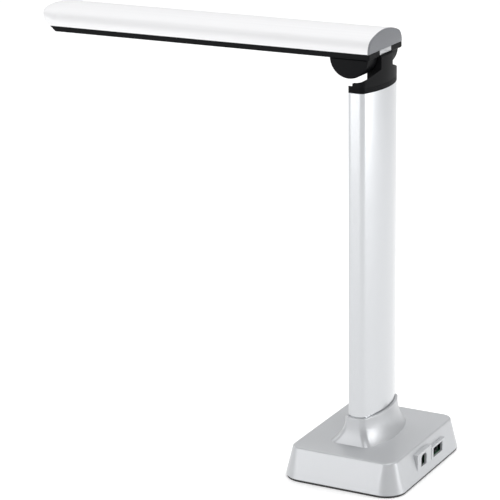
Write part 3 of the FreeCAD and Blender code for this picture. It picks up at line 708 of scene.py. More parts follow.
@dataclass(frozen=True)
class Metal(Finish):
    """Metal with a fine grain that may run along one axis."""

    roughness: float = 0.35
    metallic: float = 1.0
    grain: float = 3000.0
    stretch: Colour = (1, 1, 1)
    variation: float = 0.04
    relief: float = 0.00002
    strength: float = 0.15
    coat: float = 0.0

    def material(self) -> bpy.types.Material:
        """Build grain in colour, gloss and relief, with a slow cloud over the whole surface."""
        shader = Shader(self.name)
        fine = shader.noise(self.grain, self.stretch, 3)
        slow = shader.noise(14, (1, 1, 1), 2)
        grain = shader.tint(fine, self.shade(1 - self.variation), self.shade(1 + self.variation))
        shader.join(grain, shader.surface.inputs["Base Color"])
        level = shader.spread(slow, self.roughness - 0.03, self.roughness + 0.03)
        shader.join(level, shader.surface.inputs["Roughness"])
        shader.bump(fine, self.strength, self.relief)
        shader.set(Metallic=self.metallic, Coat_Weight=self.coat)
        return shader.material


@dataclass(frozen=True)
class Moulded(Finish):
    """Moulded plastic or rubber with a fine texture, or paint over it."""

    roughness: float = 0.45
    metallic: float = 0.0
    grain: float = 2600.0
    variation: float = 0.05
    relief: float = 0.00003
    strength: float = 0.2
    coat: float = 0.0
    specular: float = 0.5

    def material(self) -> bpy.types.Material:
        """Build the texture in relief, and slight changes of colour and gloss."""
        shader = Shader(self.name)
        fine = shader.noise(self.grain, (1, 1, 1), 2)
        slow = shader.noise(22, (1, 1, 1), 3)
        clouds = shader.tint(slow, self.shade(1 - self.variation), self.shade(1 + self.variation))
        shader.join(clouds, shader.surface.inputs["Base Color"])
        level = shader.spread(fine, self.roughness - 0.05, self.roughness + 0.05)
        shader.join(level, shader.surface.inputs["Roughness"])
        shader.bump(fine, self.strength, self.relief)
        shader.set(Metallic=self.metallic, Coat_Weight=self.coat, Specular_IOR_Level=self.specular)
        return shader.material


@dataclass(frozen=True)
class Glass(Finish):
    """Clear or tinted glass with a trace of dust."""

    roughness: float = 0.03
    transmission: float = 1.0

    def material(self) -> bpy.types.Material:
        """Build tinted glass whose gloss is broken by faint dust."""
        shader = Shader(self.name)
        dust = shader.noise(900, (1, 1, 1), 5)
        tone = shader.tint(dust, self.shade(0.96), self.shade(1.04))
        shader.join(tone, shader.surface.inputs["Base Color"])
        level = shader.spread(dust, self.roughness, self.roughness + 0.04)
        shader.join(level, shader.surface.inputs["Roughness"])
        shader.set(Transmission_Weight=self.transmission, IOR=1.5)
        return shader.material


@dataclass(frozen=True)
class Board(Finish):
    """Solder mask over copper tracks."""

    tracks: Colour = (0.05, 0.30, 0.12)

    def material(self) -> bpy.types.Material:
        """Build a mask whose tracks show as slightly raised, lighter cells."""
        shader = Shader(self.name)
        cells = shader.tree.nodes.new("ShaderNodeTexVoronoi")
        cells.distance = "MANHATTAN"
        cells.inputs["Scale"].default_value = 450
        shader.join(shader.coordinates.outputs["Object"], cells.inputs["Vector"])
        level = shader.spread(cells.outputs["Distance"], 0, 1)
        shader.join(shader.tint(level, self.colour, self.tracks), shader.surface.inputs["Base Color"])
        shader.bump(cells.outputs["Distance"], 0.2, 0.00003)
        shader.set(Roughness=0.35, Coat_Weight=0.4)
        return shader.material


@dataclass
class Palette:
    """Every finish on the object, built once and found by its material slot."""

    finishes: Sequence[Finish] = (
        Metal("satin_aluminium", (0.56, 0.572, 0.588), 0.2, 1.0, 2600, (1, 1, 0.06), 0.05, 0.00002, 0.2),
        Metal("silver_arm", (0.79, 0.79, 0.8), 0.5, 0.08, 420, (0.02, 1, 1), 0.035, 0.00001, 0.1),
        Moulded("silver_plastic", (0.505, 0.516, 0.532), 0.36, 0.3, 3200, 0.02, 0.00002, 0.2, 0.1),
        Moulded("grey_cap", (0.171, 0.177, 0.19), 0.5),
        Moulded("black_plastic", (0.0035, 0.0038, 0.0045), 0.5, 0, 2400, 0.1, 0.00003, 0.25, 0, 0.08),
        Moulded("black_rubber", (0.035, 0.035, 0.034), 0.8, 0, 1800, 0.1, 0.00005, 0.4),
        Metal("zinc_steel", (0.62, 0.62, 0.60), 0.3),
        Metal("cast_ballast", (0.28, 0.28, 0.27), 0.6, 0.8, 900, (1, 1, 1), 0.2, 0.0001, 0.4),
        Metal("foot_metal", (0.66, 0.66, 0.66), 0.5, 0.9, 1200, (1, 1, 1), 0.08, 0.00005, 0.3),
        # socket_metal is darker than a plated socket shell really is: painted shade inside the socket mouths
        Metal("socket_metal", (0.30, 0.30, 0.31), 0.3, 1.0, 2400, (1, 1, 1), 0.03, 0.00001, 0.1),
        Board("circuit_board", (0.006, 0.03, 0.02)),
        Moulded("socket_tongue", (0.03, 0.03, 0.032), 0.45),
        Metal("bush_brass", (0.72, 0.53, 0.24), 0.28),
        Moulded("washer_nylon", (0.75, 0.74, 0.68), 0.5),
        Glass("optic_glass", (0.10, 0.11, 0.13), 0.03, 0.6),
        Moulded("led_chip", (0.85, 0.65, 0.12), 0.4),
        Moulded("led_cover", (0.82, 0.82, 0.80), 0.35, 0, 2200, 0.02, 0.00002, 0.3),
        Moulded("button_grey", (0.11, 0.11, 0.115), 0.45),
        Moulded("cable_grey", (0.30, 0.30, 0.30), 0.55),
        Metal("contact_gold", (0.83, 0.62, 0.26), 0.25),
    )
    materials: dict[str, bpy.types.Material] = field(default_factory=dict)

    def __post_init__(self) -> None:
        """Build every material."""
        for finish in self.finishes:
            self.materials[finish.name] = finish.material()

    def __getitem__(self, name: str) -> bpy.types.Material:
        """Return a material by its slot."""
        return self.materials[name]

    def dress_frame(self, frame: dict) -> None:
        """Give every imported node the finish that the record's slot names."""
        for entry in frame["record"]["subparts"]:
            node = frame["nodes"][entry["node"]]
            node.data.materials.clear()
            node.data.materials.append(self.materials[entry["material_slot"]])


# ---------------------------------------------------------------------------- sub-assemblies
@dataclass
class Workshop:
    """What every sub-assembly works with: the palette and the two node trees."""

    palette: Palette = field(default_factory=Palette)
    profiles: ProfileTree = field(default_factory=ProfileTree)
    repeats: RepeatTree = field(default_factory=RepeatTree)


@dataclass
class SubAssembly(ABC):
    """A group of pieces that ride on one body of the frame."""

    shop: Workshop
    body: str

    @abstractmethod
    def build(self) -> None:
        """Make and hand over every piece."""

    def deliver(self, piece: bpy.types.Object, slot: str, *nodes: str) -> bpy.types.Object:
        """Dress a finished piece and hang it on its body.

        Args:
            piece: The finished piece.
            slot: Its material slot.
            nodes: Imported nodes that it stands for.

        Returns:
            The same piece.
        """
        if not piece.data.materials:
            piece.data.materials.append(self.shop.palette[slot])
        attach(piece, self.body)
        if nodes:
            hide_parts(*nodes)
        LOG.info("%s: %d faces, rides on %s", piece.name, len(piece.data.polygons), self.body)
        return piece


@dataclass
class Base(SubAssembly):
    """The weighted base: a tapered shell with two socket bosses, on a rubber pad."""

    foot: tuple[float, float] = (0.094, 0.120)
    top: tuple[float, float] = (0.0820, 0.1082)
    foot_corner: float = 0.0155
    top_corner: float = 0.0080
    edge_round: float = 0.0012
    wall: float = 0.0022
    boss_face: float = 0.0455
    boss_wall: float = 0.0018
    boss_depth: float = 0.0095
    boss_corner: float = 0.0006
    boss_rim: float = 0.0002
    boss_foot: float = 0.0064
    boss_spans: Sequence[tuple[float, float, float]] = ((-0.021, 0.0028, 0.0206), (0.0038, 0.028, 0.0176))
    mouth_depth: float = 0.006
    square_mouth: tuple[Point, Point] = ((-0.0147, 0.0093), (-0.0055, 0.0181))
    square_bevel: float = 0.0018
    flat_mouth: tuple[Point, Point] = ((0.0068, 0.0088), (0.0231, 0.0161))
    mouth_corner: float = 0.0003
    broken_edge: float = 0.00022
    foot_round: float = 0.0003
    inner_round: float = 0.001
    column_play: float = 0.0003
    pad_margin: float = 0.0008
    pad_rims: tuple[float, float] = (0.0004, 0.0002)

    def outline(self, height: float, inset: float) -> Outline:
        """Return the shell's outline at a height, moved inwards."""
        low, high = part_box("base_cover")
        share = (height - low.z) / (high.z - low.z)
        length = self.foot[0] + (self.top[0] - self.foot[0]) * share - 2 * inset
        width = self.foot[1] + (self.top[1] - self.foot[1]) * share - 2 * inset
        corner = self.foot_corner + (self.top_corner - self.foot_corner) * share - inset
        return centred_box(length, width, corner)

    def tapered(self, name: str, top: float, inset: float, edge: float) -> bpy.types.Object:
        """Loft the tapered block from the pad up to a height.

        Args:
            name: The solid's name.
            top: The height of its flat top.
            inset: How far inside the outer face its sides run.
            edge: The radius of its top edge.

        Returns:
            The solid.
        """
        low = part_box("base_cover")[0].z
        foot_round = 0 if inset else self.foot_round
        stations = [(low - (CLEAR if inset else 0), inset + foot_round), (low + foot_round, inset)]
        stations.append((top - edge, inset))
        stations += [(height, inset + inward) for height, inward in quarter_round(top, edge, -1, 8)]
        rings = []
        for height, inward in stations:
            rings.append([Vector((x, y, height)) for x, y in self.outline(height, inward)])
        return loft(name, rings)

    def boss(self, name: str, low: Point, high: Point, inside: bool) -> bpy.types.Object:
        """Make a socket boss, or the room inside it."""
        wall = self.boss_wall if inside else 0.0
        inner_low, inner_high = (low[0] + wall, low[1] + wall / 2), (high[0] - wall, high[1] - wall)
        outline = rounded_box(inner_low, inner_high, [self.boss_corner - wall / 6])
        face = self.boss_face - wall
        rims = (0.0, 0.0 if inside else self.boss_rim)
        return prism(name, outline, Axis.X, face - self.boss_depth, face, rims)

    def build(self) -> None:
        """Make the cover, its sockets and the pad."""
        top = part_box("base_cover")[1].z
        cover = self.tapered("base_shell", top, 0.0, self.edge_round)
        hollow = self.tapered("hollow", top - self.wall, self.wall, self.inner_round)
        bosses, rooms = [], []
        for index, (start, end, head) in enumerate(self.boss_spans):
            corners = (start, self.boss_foot), (end, head)
            bosses.append(self.boss(f"boss_{index}", *corners, False))
            rooms.append(self.boss(f"room_{index}", *corners, True))
        play = COLUMN.grown(self.column_play).outline()
        opening = prism("opening", play, Axis.Z, top - 6 * CLEAR, top + 2 * CLEAR)
        cover = carve(cover, [hollow, *rooms, *self.mouths(), opening], bosses, self.broken_edge)
        self.deliver(weigh_normals(cover), "silver_plastic", "base_cover")
        low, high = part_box("rubber_pad")
        outline = centred_box(high.x - low.x, high.y - low.y, self.foot_corner - self.pad_margin)
        pad = prism("foot_pad", outline, Axis.Z, low.z, high.z, self.pad_rims)
        self.deliver(pad, "black_rubber", "rubber_pad")

    def mouths(self) -> list[bpy.types.Object]:
        """Return the cutters of the two socket mouths."""
        (left, low), (right, high) = self.square_mouth
        bevel = self.square_bevel
        square = [(left, low), (right, low), (right, high - bevel), (right - bevel, high)]
        square += [(left + bevel, high), (left, high - bevel)]
        flat = rounded_box(*self.flat_mouth, [self.mouth_corner])
        start, end = self.boss_face - self.mouth_depth, self.boss_face + 4 * CLEAR
        outlines = (("square_mouth", square), ("flat_mouth", flat))
        return [prism(name, outline, Axis.X, start, end) for name, outline in outlines]


@dataclass
class Sockets(SubAssembly):
    """The two sockets behind the base's mouths, with their tongues and contacts."""

    wall: float = 0.0004
    setback: float = 0.0007
    contact: tuple[float, float, float] = (0.0085, 0.0011, 0.00025)
    contact_setback: float = 0.0008
    contact_pitch: float = 0.0025
    contact_round: float = 0.00008
    shell_corner: float = 0.0005
    shell_rim: float = 0.00015
    inner_corner: float = 0.0003

    def shell(self, node: str, name: str, bevel: float) -> None:
        """Make a folded metal shell, open to the back, in place of a packed one."""
        low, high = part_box(node)
        corners = [self.shell_corner, self.shell_corner, bevel, bevel]
        outer = rounded_box((low.y, low.z), (high.y, high.z), corners)
        solid = prism(name, outer, Axis.X, low.x, high.x - self.setback, (0.0, self.shell_rim))
        wall = 2 * self.wall
        corners = [self.inner_corner, self.inner_corner, bevel, bevel]
        inner = rounded_box((low.y + wall, low.z + wall), (high.y - wall, high.z - wall), corners)
        room = prism("room", inner, Axis.X, low.x + CLEAR, high.x + 2 * CLEAR)
        # the shell's dark socket_metal finish is painted shade inside the mouth, not the plating's own tone
        self.deliver(carve(solid, [room], edge=self.contact_round), "socket_metal", node)

    def tongue(self, node: str, name: str, rows: Sequence[float], count: int) -> None:
        """Make a tongue with rows of gold contacts.

        Args:
            node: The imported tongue.
            name: The piece's name.
            rows: The heights of the contact rows.
            count: Contacts in a row.
        """
        low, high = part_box(node)
        outline = rounded_box((low.y, low.z), (high.y, high.z), [self.inner_corner])
        solid = prism(name, outline, Axis.X, low.x, high.x, (0.0, self.inner_corner))
        self.deliver(solid, "socket_tongue", node)
        length, width, height = self.contact
        strip = rounded_box((-width / 2, -height / 2), (width / 2, height / 2), [self.contact_round])
        part = prism(f"{name}_contact", strip, Axis.X, -length, 0.0, (0.0, 0.0001))
        pitch, front = self.contact_pitch, high.x - self.contact_setback
        middle = (low.y + high.y) / 2 - pitch * (count - 1) / 2
        spots = [Vector((front, middle + pitch * i, row)) for row in rows for i in range(count)]
        gold = self.shop.palette["contact_gold"]
        contacts = self.shop.repeats.set_out(f"{name}_contacts", part, spots, gold)
        self.deliver(contacts, "bush_brass")

    def build(self) -> None:
        """Make both sockets."""
        self.shell("usb_b_shell", "square_socket_shell", 0.0019)
        self.shell("usb_a_shell", "flat_socket_shell", 0.0005)
        low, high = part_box("usb_b_tongue")
        self.tongue("usb_b_tongue", "square_socket_tongue", (low.z, high.z), 2)
        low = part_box("usb_a_tongue")[0]
        self.tongue("usb_a_tongue", "flat_socket_tongue", (low.z,), 4)


COLUMN = DSection(-0.0076, 0.0282, 0.0049, 0.011, 0.0042)


@dataclass
class Column(SubAssembly):
    """The extruded column and the flared collar round its foot."""

    wall: float = 0.0018
    collar_foot: DSection = DSection(-0.0200, 0.0338, 0.0112, 0.0194, 0.0060)
    collar_rim: DSection = DSection(-0.0096, 0.0302, 0.0059, 0.013, 0.0056)
    collar_round: float = 0.0007
    flare: float = 2.4
    steps: int = 22

    def build(self) -> None:
        """Make the column and its collar."""
        low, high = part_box("column_tube")
        loops = [COLUMN.outline(), COLUMN.grown(-self.wall).outline()]
        finish = self.shop.palette["satin_aluminium"]
        tube = self.shop.profiles.draw("column_profile", loops, Axis.Z, low.z, high.z, finish)
        self.deliver(tube, "satin_aluminium", "column_tube")
        self.deliver(self.collar(), "silver_plastic", "column_boot")

    def collar(self) -> bpy.types.Object:
        """Loft the collar: a concave flare outside and the column's section inside."""
        low, high = (corner.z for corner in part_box("column_boot"))
        rings = []
        rim = self.collar_round
        for index in range(self.steps + 1):
            share = index / self.steps
            section = self.collar_rim.toward(self.collar_foot, (1 - share) ** self.flare)
            height = low + (high - rim - low) * share
            rings.append([Vector((x, y, height)) for x, y in section.outline()])
        for angle in (30, 60, 90):
            turn = math.radians(angle)
            outline = self.collar_rim.grown(-rim * (1 - math.cos(turn))).outline()
            rings.append([Vector((x, y, high - rim + rim * math.sin(turn))) for x, y in outline])
        inner = COLUMN.grown(0.00015).outline()
        rings.append([Vector((x, y, high)) for x, y in inner])
        rings.append([Vector((x, y, low)) for x, y in inner])
        return loft("column_collar", rings, closed=True)


@dataclass
class Hinge(SubAssembly):
    """The black head of the column: a curved seat with a lug that holds the hinge pin."""

    lug_half_width: float = 0.0093
    lug_front: float = -0.0007
    eye_radius: float = 0.0105
    bore_radius: float = 0.00455
    lip: float = 0.2873
    seat_step: Point = (-0.0030, 0.2897)
    seat_back: Point = (0.0105, 0.2974)
    seat_radius: float = 0.0155
    trough_half_width: float = 0.0254
    trough_heights: Point = (0.2838, 0.2858)
    trough_bend: float = -0.0014
    trough_back: float = 0.0028
    reach: tuple[float, float, float] = (-0.012, 0.014, 0.32)
    plug: tuple[Point, Point] = ((-0.00565, -0.0125), (0.00495, 0.0125))
    plug_corner: float = 0.0008
    broken_edge: float = 0.0003
    grooves: Sequence[float] = (0.0011, 0.0023, 0.0035)
    groove_width: float = 0.0005
    groove_depth: float = 0.00022

    def build(self) -> None:
        """Cut the seat and the trough out of the column's section, and keep the lug."""
        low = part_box("column_tube")[1].z
        pivot = Vector(self.pivot())
        block = self.grooved_block(low, pivot.z)
        edge = self.lug_half_width
        cutters = [self.seat("near_seat", -0.04, -edge), self.seat("far_seat", edge, 0.04)]
        room = self.trough_half_width
        cutters.append(self.trough("throat", self.lug_front, -room, room))
        cutters.append(self.trough("near_trough", self.trough_back, -room, -edge))
        cutters.append(self.trough("far_trough", self.trough_back, edge, room))
        head = carve(block, cutters)
        spot = (pivot.x, pivot.z)
        eye = prism("eye", circle(spot, self.eye_radius), Axis.Y, -edge, edge)
        bore = prism("bore", circle(spot, self.bore_radius), Axis.Y, -2 * edge, 2 * edge)
        plug_low, plug_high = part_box("hinge_bracket")[0].z, low + CLEAR
        plug_outline = rounded_box(*self.plug, [self.plug_corner])
        plug = prism("plug", plug_outline, Axis.Z, plug_low, plug_high)
        head = carve(head, [bore], [eye, plug], self.broken_edge)
        self.deliver(weigh_normals(head), "black_plastic", "hinge_bracket")

    def grooved_block(self, low: float, high: float) -> bpy.types.Object:
        """Draw the column's section up past the seat, with fine grooves round its foot."""
        stations = [(low, 0.0003), (low + 0.0003, 0.0)]
        for groove in self.grooves:
            middle, half = low + groove, self.groove_width / 2
            stations += [(middle - half, 0.0), (middle - half / 2, self.groove_depth)]
            stations += [(middle + half / 2, self.groove_depth), (middle + half, 0.0)]
        stations += [(high - 0.0006, 0.0), (high, 0.0005)]
        rings = []
        for height, inset in stations:
            section = COLUMN.grown(-inset) if inset else COLUMN
            rings.append([Vector((x, y, height)) for x, y in section.outline()])
        return loft("hinge_head", rings)

    @staticmethod
    def pivot() -> tuple[float, float, float]:
        """Return the middle of the hinge pin."""
        low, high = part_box("hinge_pin")
        return tuple((low + high) / 2)

    def seat(self, name: str, start: float, end: float) -> bpy.types.Object:
        """Return the cutter above the stepped rim on one side of the lug."""
        step, back = self.seat_step, self.seat_back
        chord = Vector(back) - Vector(step)
        left = Vector((-chord.y, chord.x)).normalized()
        reach = math.sqrt(self.seat_radius**2 - (chord.length / 2) ** 2)
        centre = (Vector(step) + Vector(back)) / 2 + left * reach
        first = math.degrees(math.atan2(step[1] - centre.y, step[0] - centre.x))
        last = math.degrees(math.atan2(back[1] - centre.y, back[0] - centre.x))
        curve = arc(tuple(centre), self.seat_radius, first, last, 2 * CORNER_STEPS)
        front, rear, above = self.reach
        outline = [(front, self.lip), (step[0], self.lip), *curve]
        outline += [(rear, back[1]), (rear, above), (front, above)]
        return prism(name, outline, Axis.Y, start, end)

    def trough(self, name: str, back: float, start: float, end: float) -> bpy.types.Object:
        """Return the cutter that clears the room for the cheeks between the side walls."""
        front, _, above = self.reach
        low, floor = self.trough_heights
        outline = [(front, low), (COLUMN.front, low), (self.trough_bend, floor)]
        outline += [(back, floor), (back, above), (front, above)]
        return prism(name, outline, Axis.Y, start, end)


@dataclass
class Arm(SubAssembly):
    """The camera arm: drawn shell, black tray, caps and the two hinge cheeks."""

    section: HalfOval = HalfOval()
    wall: float = 0.0015
    floor: float = 0.002
    tip_start: float = -0.247
    bow_height: float = 0.32264
    tray_round: float = 0.0006
    tray_edge: float = 0.0002
    plan_power: int = 6
    plan_root: float = 1.39
    bow_root: float = 1.2
    tip_steps: int = 26
    bow_steps: int = 8
    slot_front: float = -0.0195
    slot_half: float = 0.0098
    notch_half: float = 0.0072
    notch_span: Point = (0.0088, 0.0222)
    opening_depth: float = 0.004
    window_ledge: float = 0.002
    lamp_play: float = 0.0001
    lamp_corner: float = 0.0012
    button_hole: float = 0.0053
    screw_hole: float = 0.00275
    screw_sink: float = 0.0012
    cap_rim: float = 0.0007
    tab_half: float = 0.0094
    tab_setback: float = 0.0002
    cheek_rims: tuple[float, float] = (0.0004, 0.0009)
    tower_half: float = 0.007
    tower_width: float = 0.0122
    pin_radius: float = 0.00301
    pin_depth: float = 0.0105

    def tip_shares(self, share: float) -> tuple[float, float]:
        """Return how much of its width and its height the arm keeps at a share of the tip."""
        return (1 - share**self.plan_power) ** (1 / self.plan_root), (1 - share) ** (1 / self.bow_root)

    def build(self) -> None:
        """Make the shell, the tray, both caps and the cheeks."""
        low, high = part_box("arm_shell")
        self.deliver(self.shell(low, high), "silver_arm", "arm_shell")
        self.deliver(self.tip(), "silver_arm", "arm_tip_cap")
        self.deliver(self.tray(), "black_plastic", "arm_tray")
        self.end_cap()
        for node, sign in (("left_hinge_cheek", 1), ("right_hinge_cheek", -1)):
            self.cheek(node, sign)

    def shell(self, low: Vector, high: Vector) -> bpy.types.Object:
        """Draw the shell's wall out along the arm."""
        outer = self.section.upper()
        inner = self.section.upper(self.wall)
        edge, inside = self.section.half_width, self.section.half_width - self.wall
        loop = [(edge, low.z), *outer, (-edge, low.z), (-inside, low.z), *reversed(inner), (inside, low.z)]
        finish = self.shop.palette["silver_arm"]
        return self.shop.profiles.draw("arm_profile", [loop], Axis.X, low.x, high.x, finish)

    def tip(self) -> bpy.types.Object:
        """Loft the tip cap: rounded in plan and undercut like a bow."""
        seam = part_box("arm_shell")[0].z
        tray_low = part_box("arm_tray")[0].z
        length = self.tip_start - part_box("arm_tip_cap")[0].x
        rings = []
        for index in range(self.tip_steps + 1):
            share = min((index / self.tip_steps) ** 0.8, 0.9995)
            width, height = self.tip_shares(share)
            bottom = max(seam, self.bow_height - (self.bow_height - tray_low) * height)
            edge = self.section.half_width * width
            outline = [(-edge, bottom), (edge, bottom)]
            for y, z in self.section.upper():
                level = self.bow_height + (z - self.bow_height) * height
                outline.append((y * width, max(level, bottom + 2 * AXIS_REACH)))
            rings.append([Vector((self.tip_start - length * share, y, z)) for y, z in outline])
        return loft("arm_tip", rings)

    def tray(self) -> bpy.types.Object:
        """Make the tray with its bow, its hollow and its openings."""
        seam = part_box("arm_shell")[0].z
        low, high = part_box("arm_tray")
        half = high.y
        length = self.tip_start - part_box("arm_tip_cap")[0].x
        rings = []
        for x, bottom, edge in self.tray_stations(low, high, seam, length, half):
            radius = min(self.tray_round, (seam - bottom) * 0.45)
            outline = rounded_box((-edge, bottom), (edge, seam), [radius, radius, AXIS_REACH, AXIS_REACH])
            rings.append([Vector((x, y, z)) for y, z in outline])
        tray = loft("arm_underside", rings)
        past = 2 * CLEAR
        hollow_low = (self.tip_start + past, -half + self.wall, low.z + self.floor)
        cutters = [self.block("hollow", hollow_low, (high.x - self.wall, half - self.wall, seam + past))]
        slot_low = (self.slot_front, -self.slot_half, low.z - CLEAR)
        cutters.append(self.block("slot", slot_low, (high.x + past, self.slot_half, seam + past)))
        middle = Hinge.pivot()[0]
        for sign in (1, -1):
            first, last = sorted(sign * side for side in self.notch_span)
            notch_low = (middle - self.notch_half, first, low.z - CLEAR)
            cutters.append(self.block("notch", notch_low, (middle + self.notch_half, last, seam)))
        cutters += self.openings(low.z)
        return weigh_normals(carve(tray, cutters, edge=self.tray_edge))

    def tray_stations(
        self, low: Vector, high: Vector, seam: float, length: float, half: float
    ) -> list[tuple[float, float, float]]:
        """Return place, bottom height and half width of the tray's sections from back to tip."""
        edge = self.tray_edge
        stations = [(high.x, low.z + 2 * edge, half - edge), (high.x - 2 * edge, low.z, half)]
        stations.append((self.tip_start, low.z, half))
        end = 1 - ((self.bow_height - seam) / (self.bow_height - low.z)) ** self.bow_root
        for index in range(1, self.bow_steps + 1):
            share = end * index / self.bow_steps * 0.995
            width, height = self.tip_shares(share)
            bottom = self.bow_height - (self.bow_height - low.z) * height
            stations.append((self.tip_start - length * share, bottom, half * width))
        return stations

    @staticmethod
    def block(name: str, low: Sequence[float], high: Sequence[float]) -> bpy.types.Object:
        """Return a plain cutter between two corners."""
        outline = [(low[0], low[1]), (high[0], low[1]), (high[0], high[1]), (low[0], high[1])]
        return prism(name, outline, Axis.Z, low[2], high[2])

    def openings(self, bottom: float) -> list[bpy.types.Object]:
        """Return the cutters for the optics, the button and the screws."""
        cutters = []
        deep, start = bottom + self.opening_depth, bottom - CLEAR
        window_low, window_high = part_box("lens_window")
        centre = (window_low + window_high) / 2
        radius = (window_high.x - window_low.x) / 2
        sight = circle((centre.x, 0), radius - self.window_ledge)
        cutters.append(prism("sight", sight, Axis.Z, start, deep))
        ledge = circle((centre.x, 0), radius + 0.00006)
        cutters.append(prism("ledge", ledge, Axis.Z, start, window_high.z))
        low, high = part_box("led_diffusers")
        play = self.lamp_play
        half = (high.x - low.x) / 2 + play
        for sign in (1, -1):
            middle = sign * (high.y - (high.x - low.x) / 2)
            corners = (low.x - play, middle - half), (high.x + play, middle + half)
            outline = rounded_box(*corners, [self.lamp_corner])
            cutters.append(prism("lamp", outline, Axis.Z, start, deep))
        low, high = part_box("light_button")
        outline = circle(((low.x + high.x) / 2, 0), self.button_hole)
        cutters.append(prism("button_hole", outline, Axis.Z, start, deep))
        for spot in screw_spots("arm_screws"):
            outline = circle((spot.x, spot.y), self.screw_hole, 32)
            cutters.append(prism("sink", outline, Axis.Z, start, bottom + self.screw_sink))
        return cutters

    def end_cap(self) -> None:
        """Make the grey plate that closes the hinge end, and its light tab."""
        low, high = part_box("arm_end_cap")
        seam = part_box("arm_shell")[0].z
        outline = self.section.closed(seam)
        cap = prism("arm_end_plate", outline, Axis.X, low.x, high.x, (0.0, self.cap_rim))
        self.deliver(cap, "grey_cap", "arm_end_cap")
        half, corner = self.tab_half, 2 * self.tab_setback
        tab_outline = rounded_box((-half, low.z), (half, seam + corner), [corner])
        tab = prism("arm_end_tab", tab_outline, Axis.X, low.x, high.x - self.tab_setback, (0.0, 0.0005))
        self.deliver(tab, "silver_plastic")

    def cheek(self, node: str, sign: int) -> None:
        """Make one half-round cheek with a rounded outer rim."""
        low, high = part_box(node)
        pivot = Hinge.pivot()
        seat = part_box("arm_tray")[0].z
        inner, outer = sorted((low.y, high.y), key=abs)
        radius = pivot[2] - low.z
        lean = math.degrees(math.asin((pivot[2] - seat) / radius))
        outline = arc((pivot[0], pivot[2]), radius, 180 + lean, 360 - lean, ROUND_STEPS)
        start, end = sorted((inner, outer))
        rims = self.cheek_rims[::sign]
        half = prism(f"{node}_shell", outline, Axis.Y, start, end, rims, 5)
        first, last = sorted((inner, inner + sign * self.tower_width))
        tower_low = (pivot[0] - self.tower_half, first, seat - CLEAR)
        tower = self.block("tower", tower_low, (pivot[0] + self.tower_half, last, high.z))
        first, last = sorted((inner - sign * 10 * CLEAR, inner + sign * self.pin_depth))
        bore = prism("bore", circle((pivot[0], pivot[2]), self.pin_radius, 48), Axis.Y, first, last)
        self.deliver(carve(half, [bore], [tower]), "black_plastic", node)


def screw_spots(node: str) -> list[Vector]:
    """Return the lowest middle point of each separate screw in a packed group.

    Args:
        node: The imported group, whose screws stand in a rectangle.

    Returns:
        One point for each corner of the rectangle.
    """
    low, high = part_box(node)
    radius = 0.0027
    return [
        Vector((x, y, low.z))
        for x in (low.x + radius, high.x - radius)
        for y in (low.y + radius, high.y - radius)
    ]


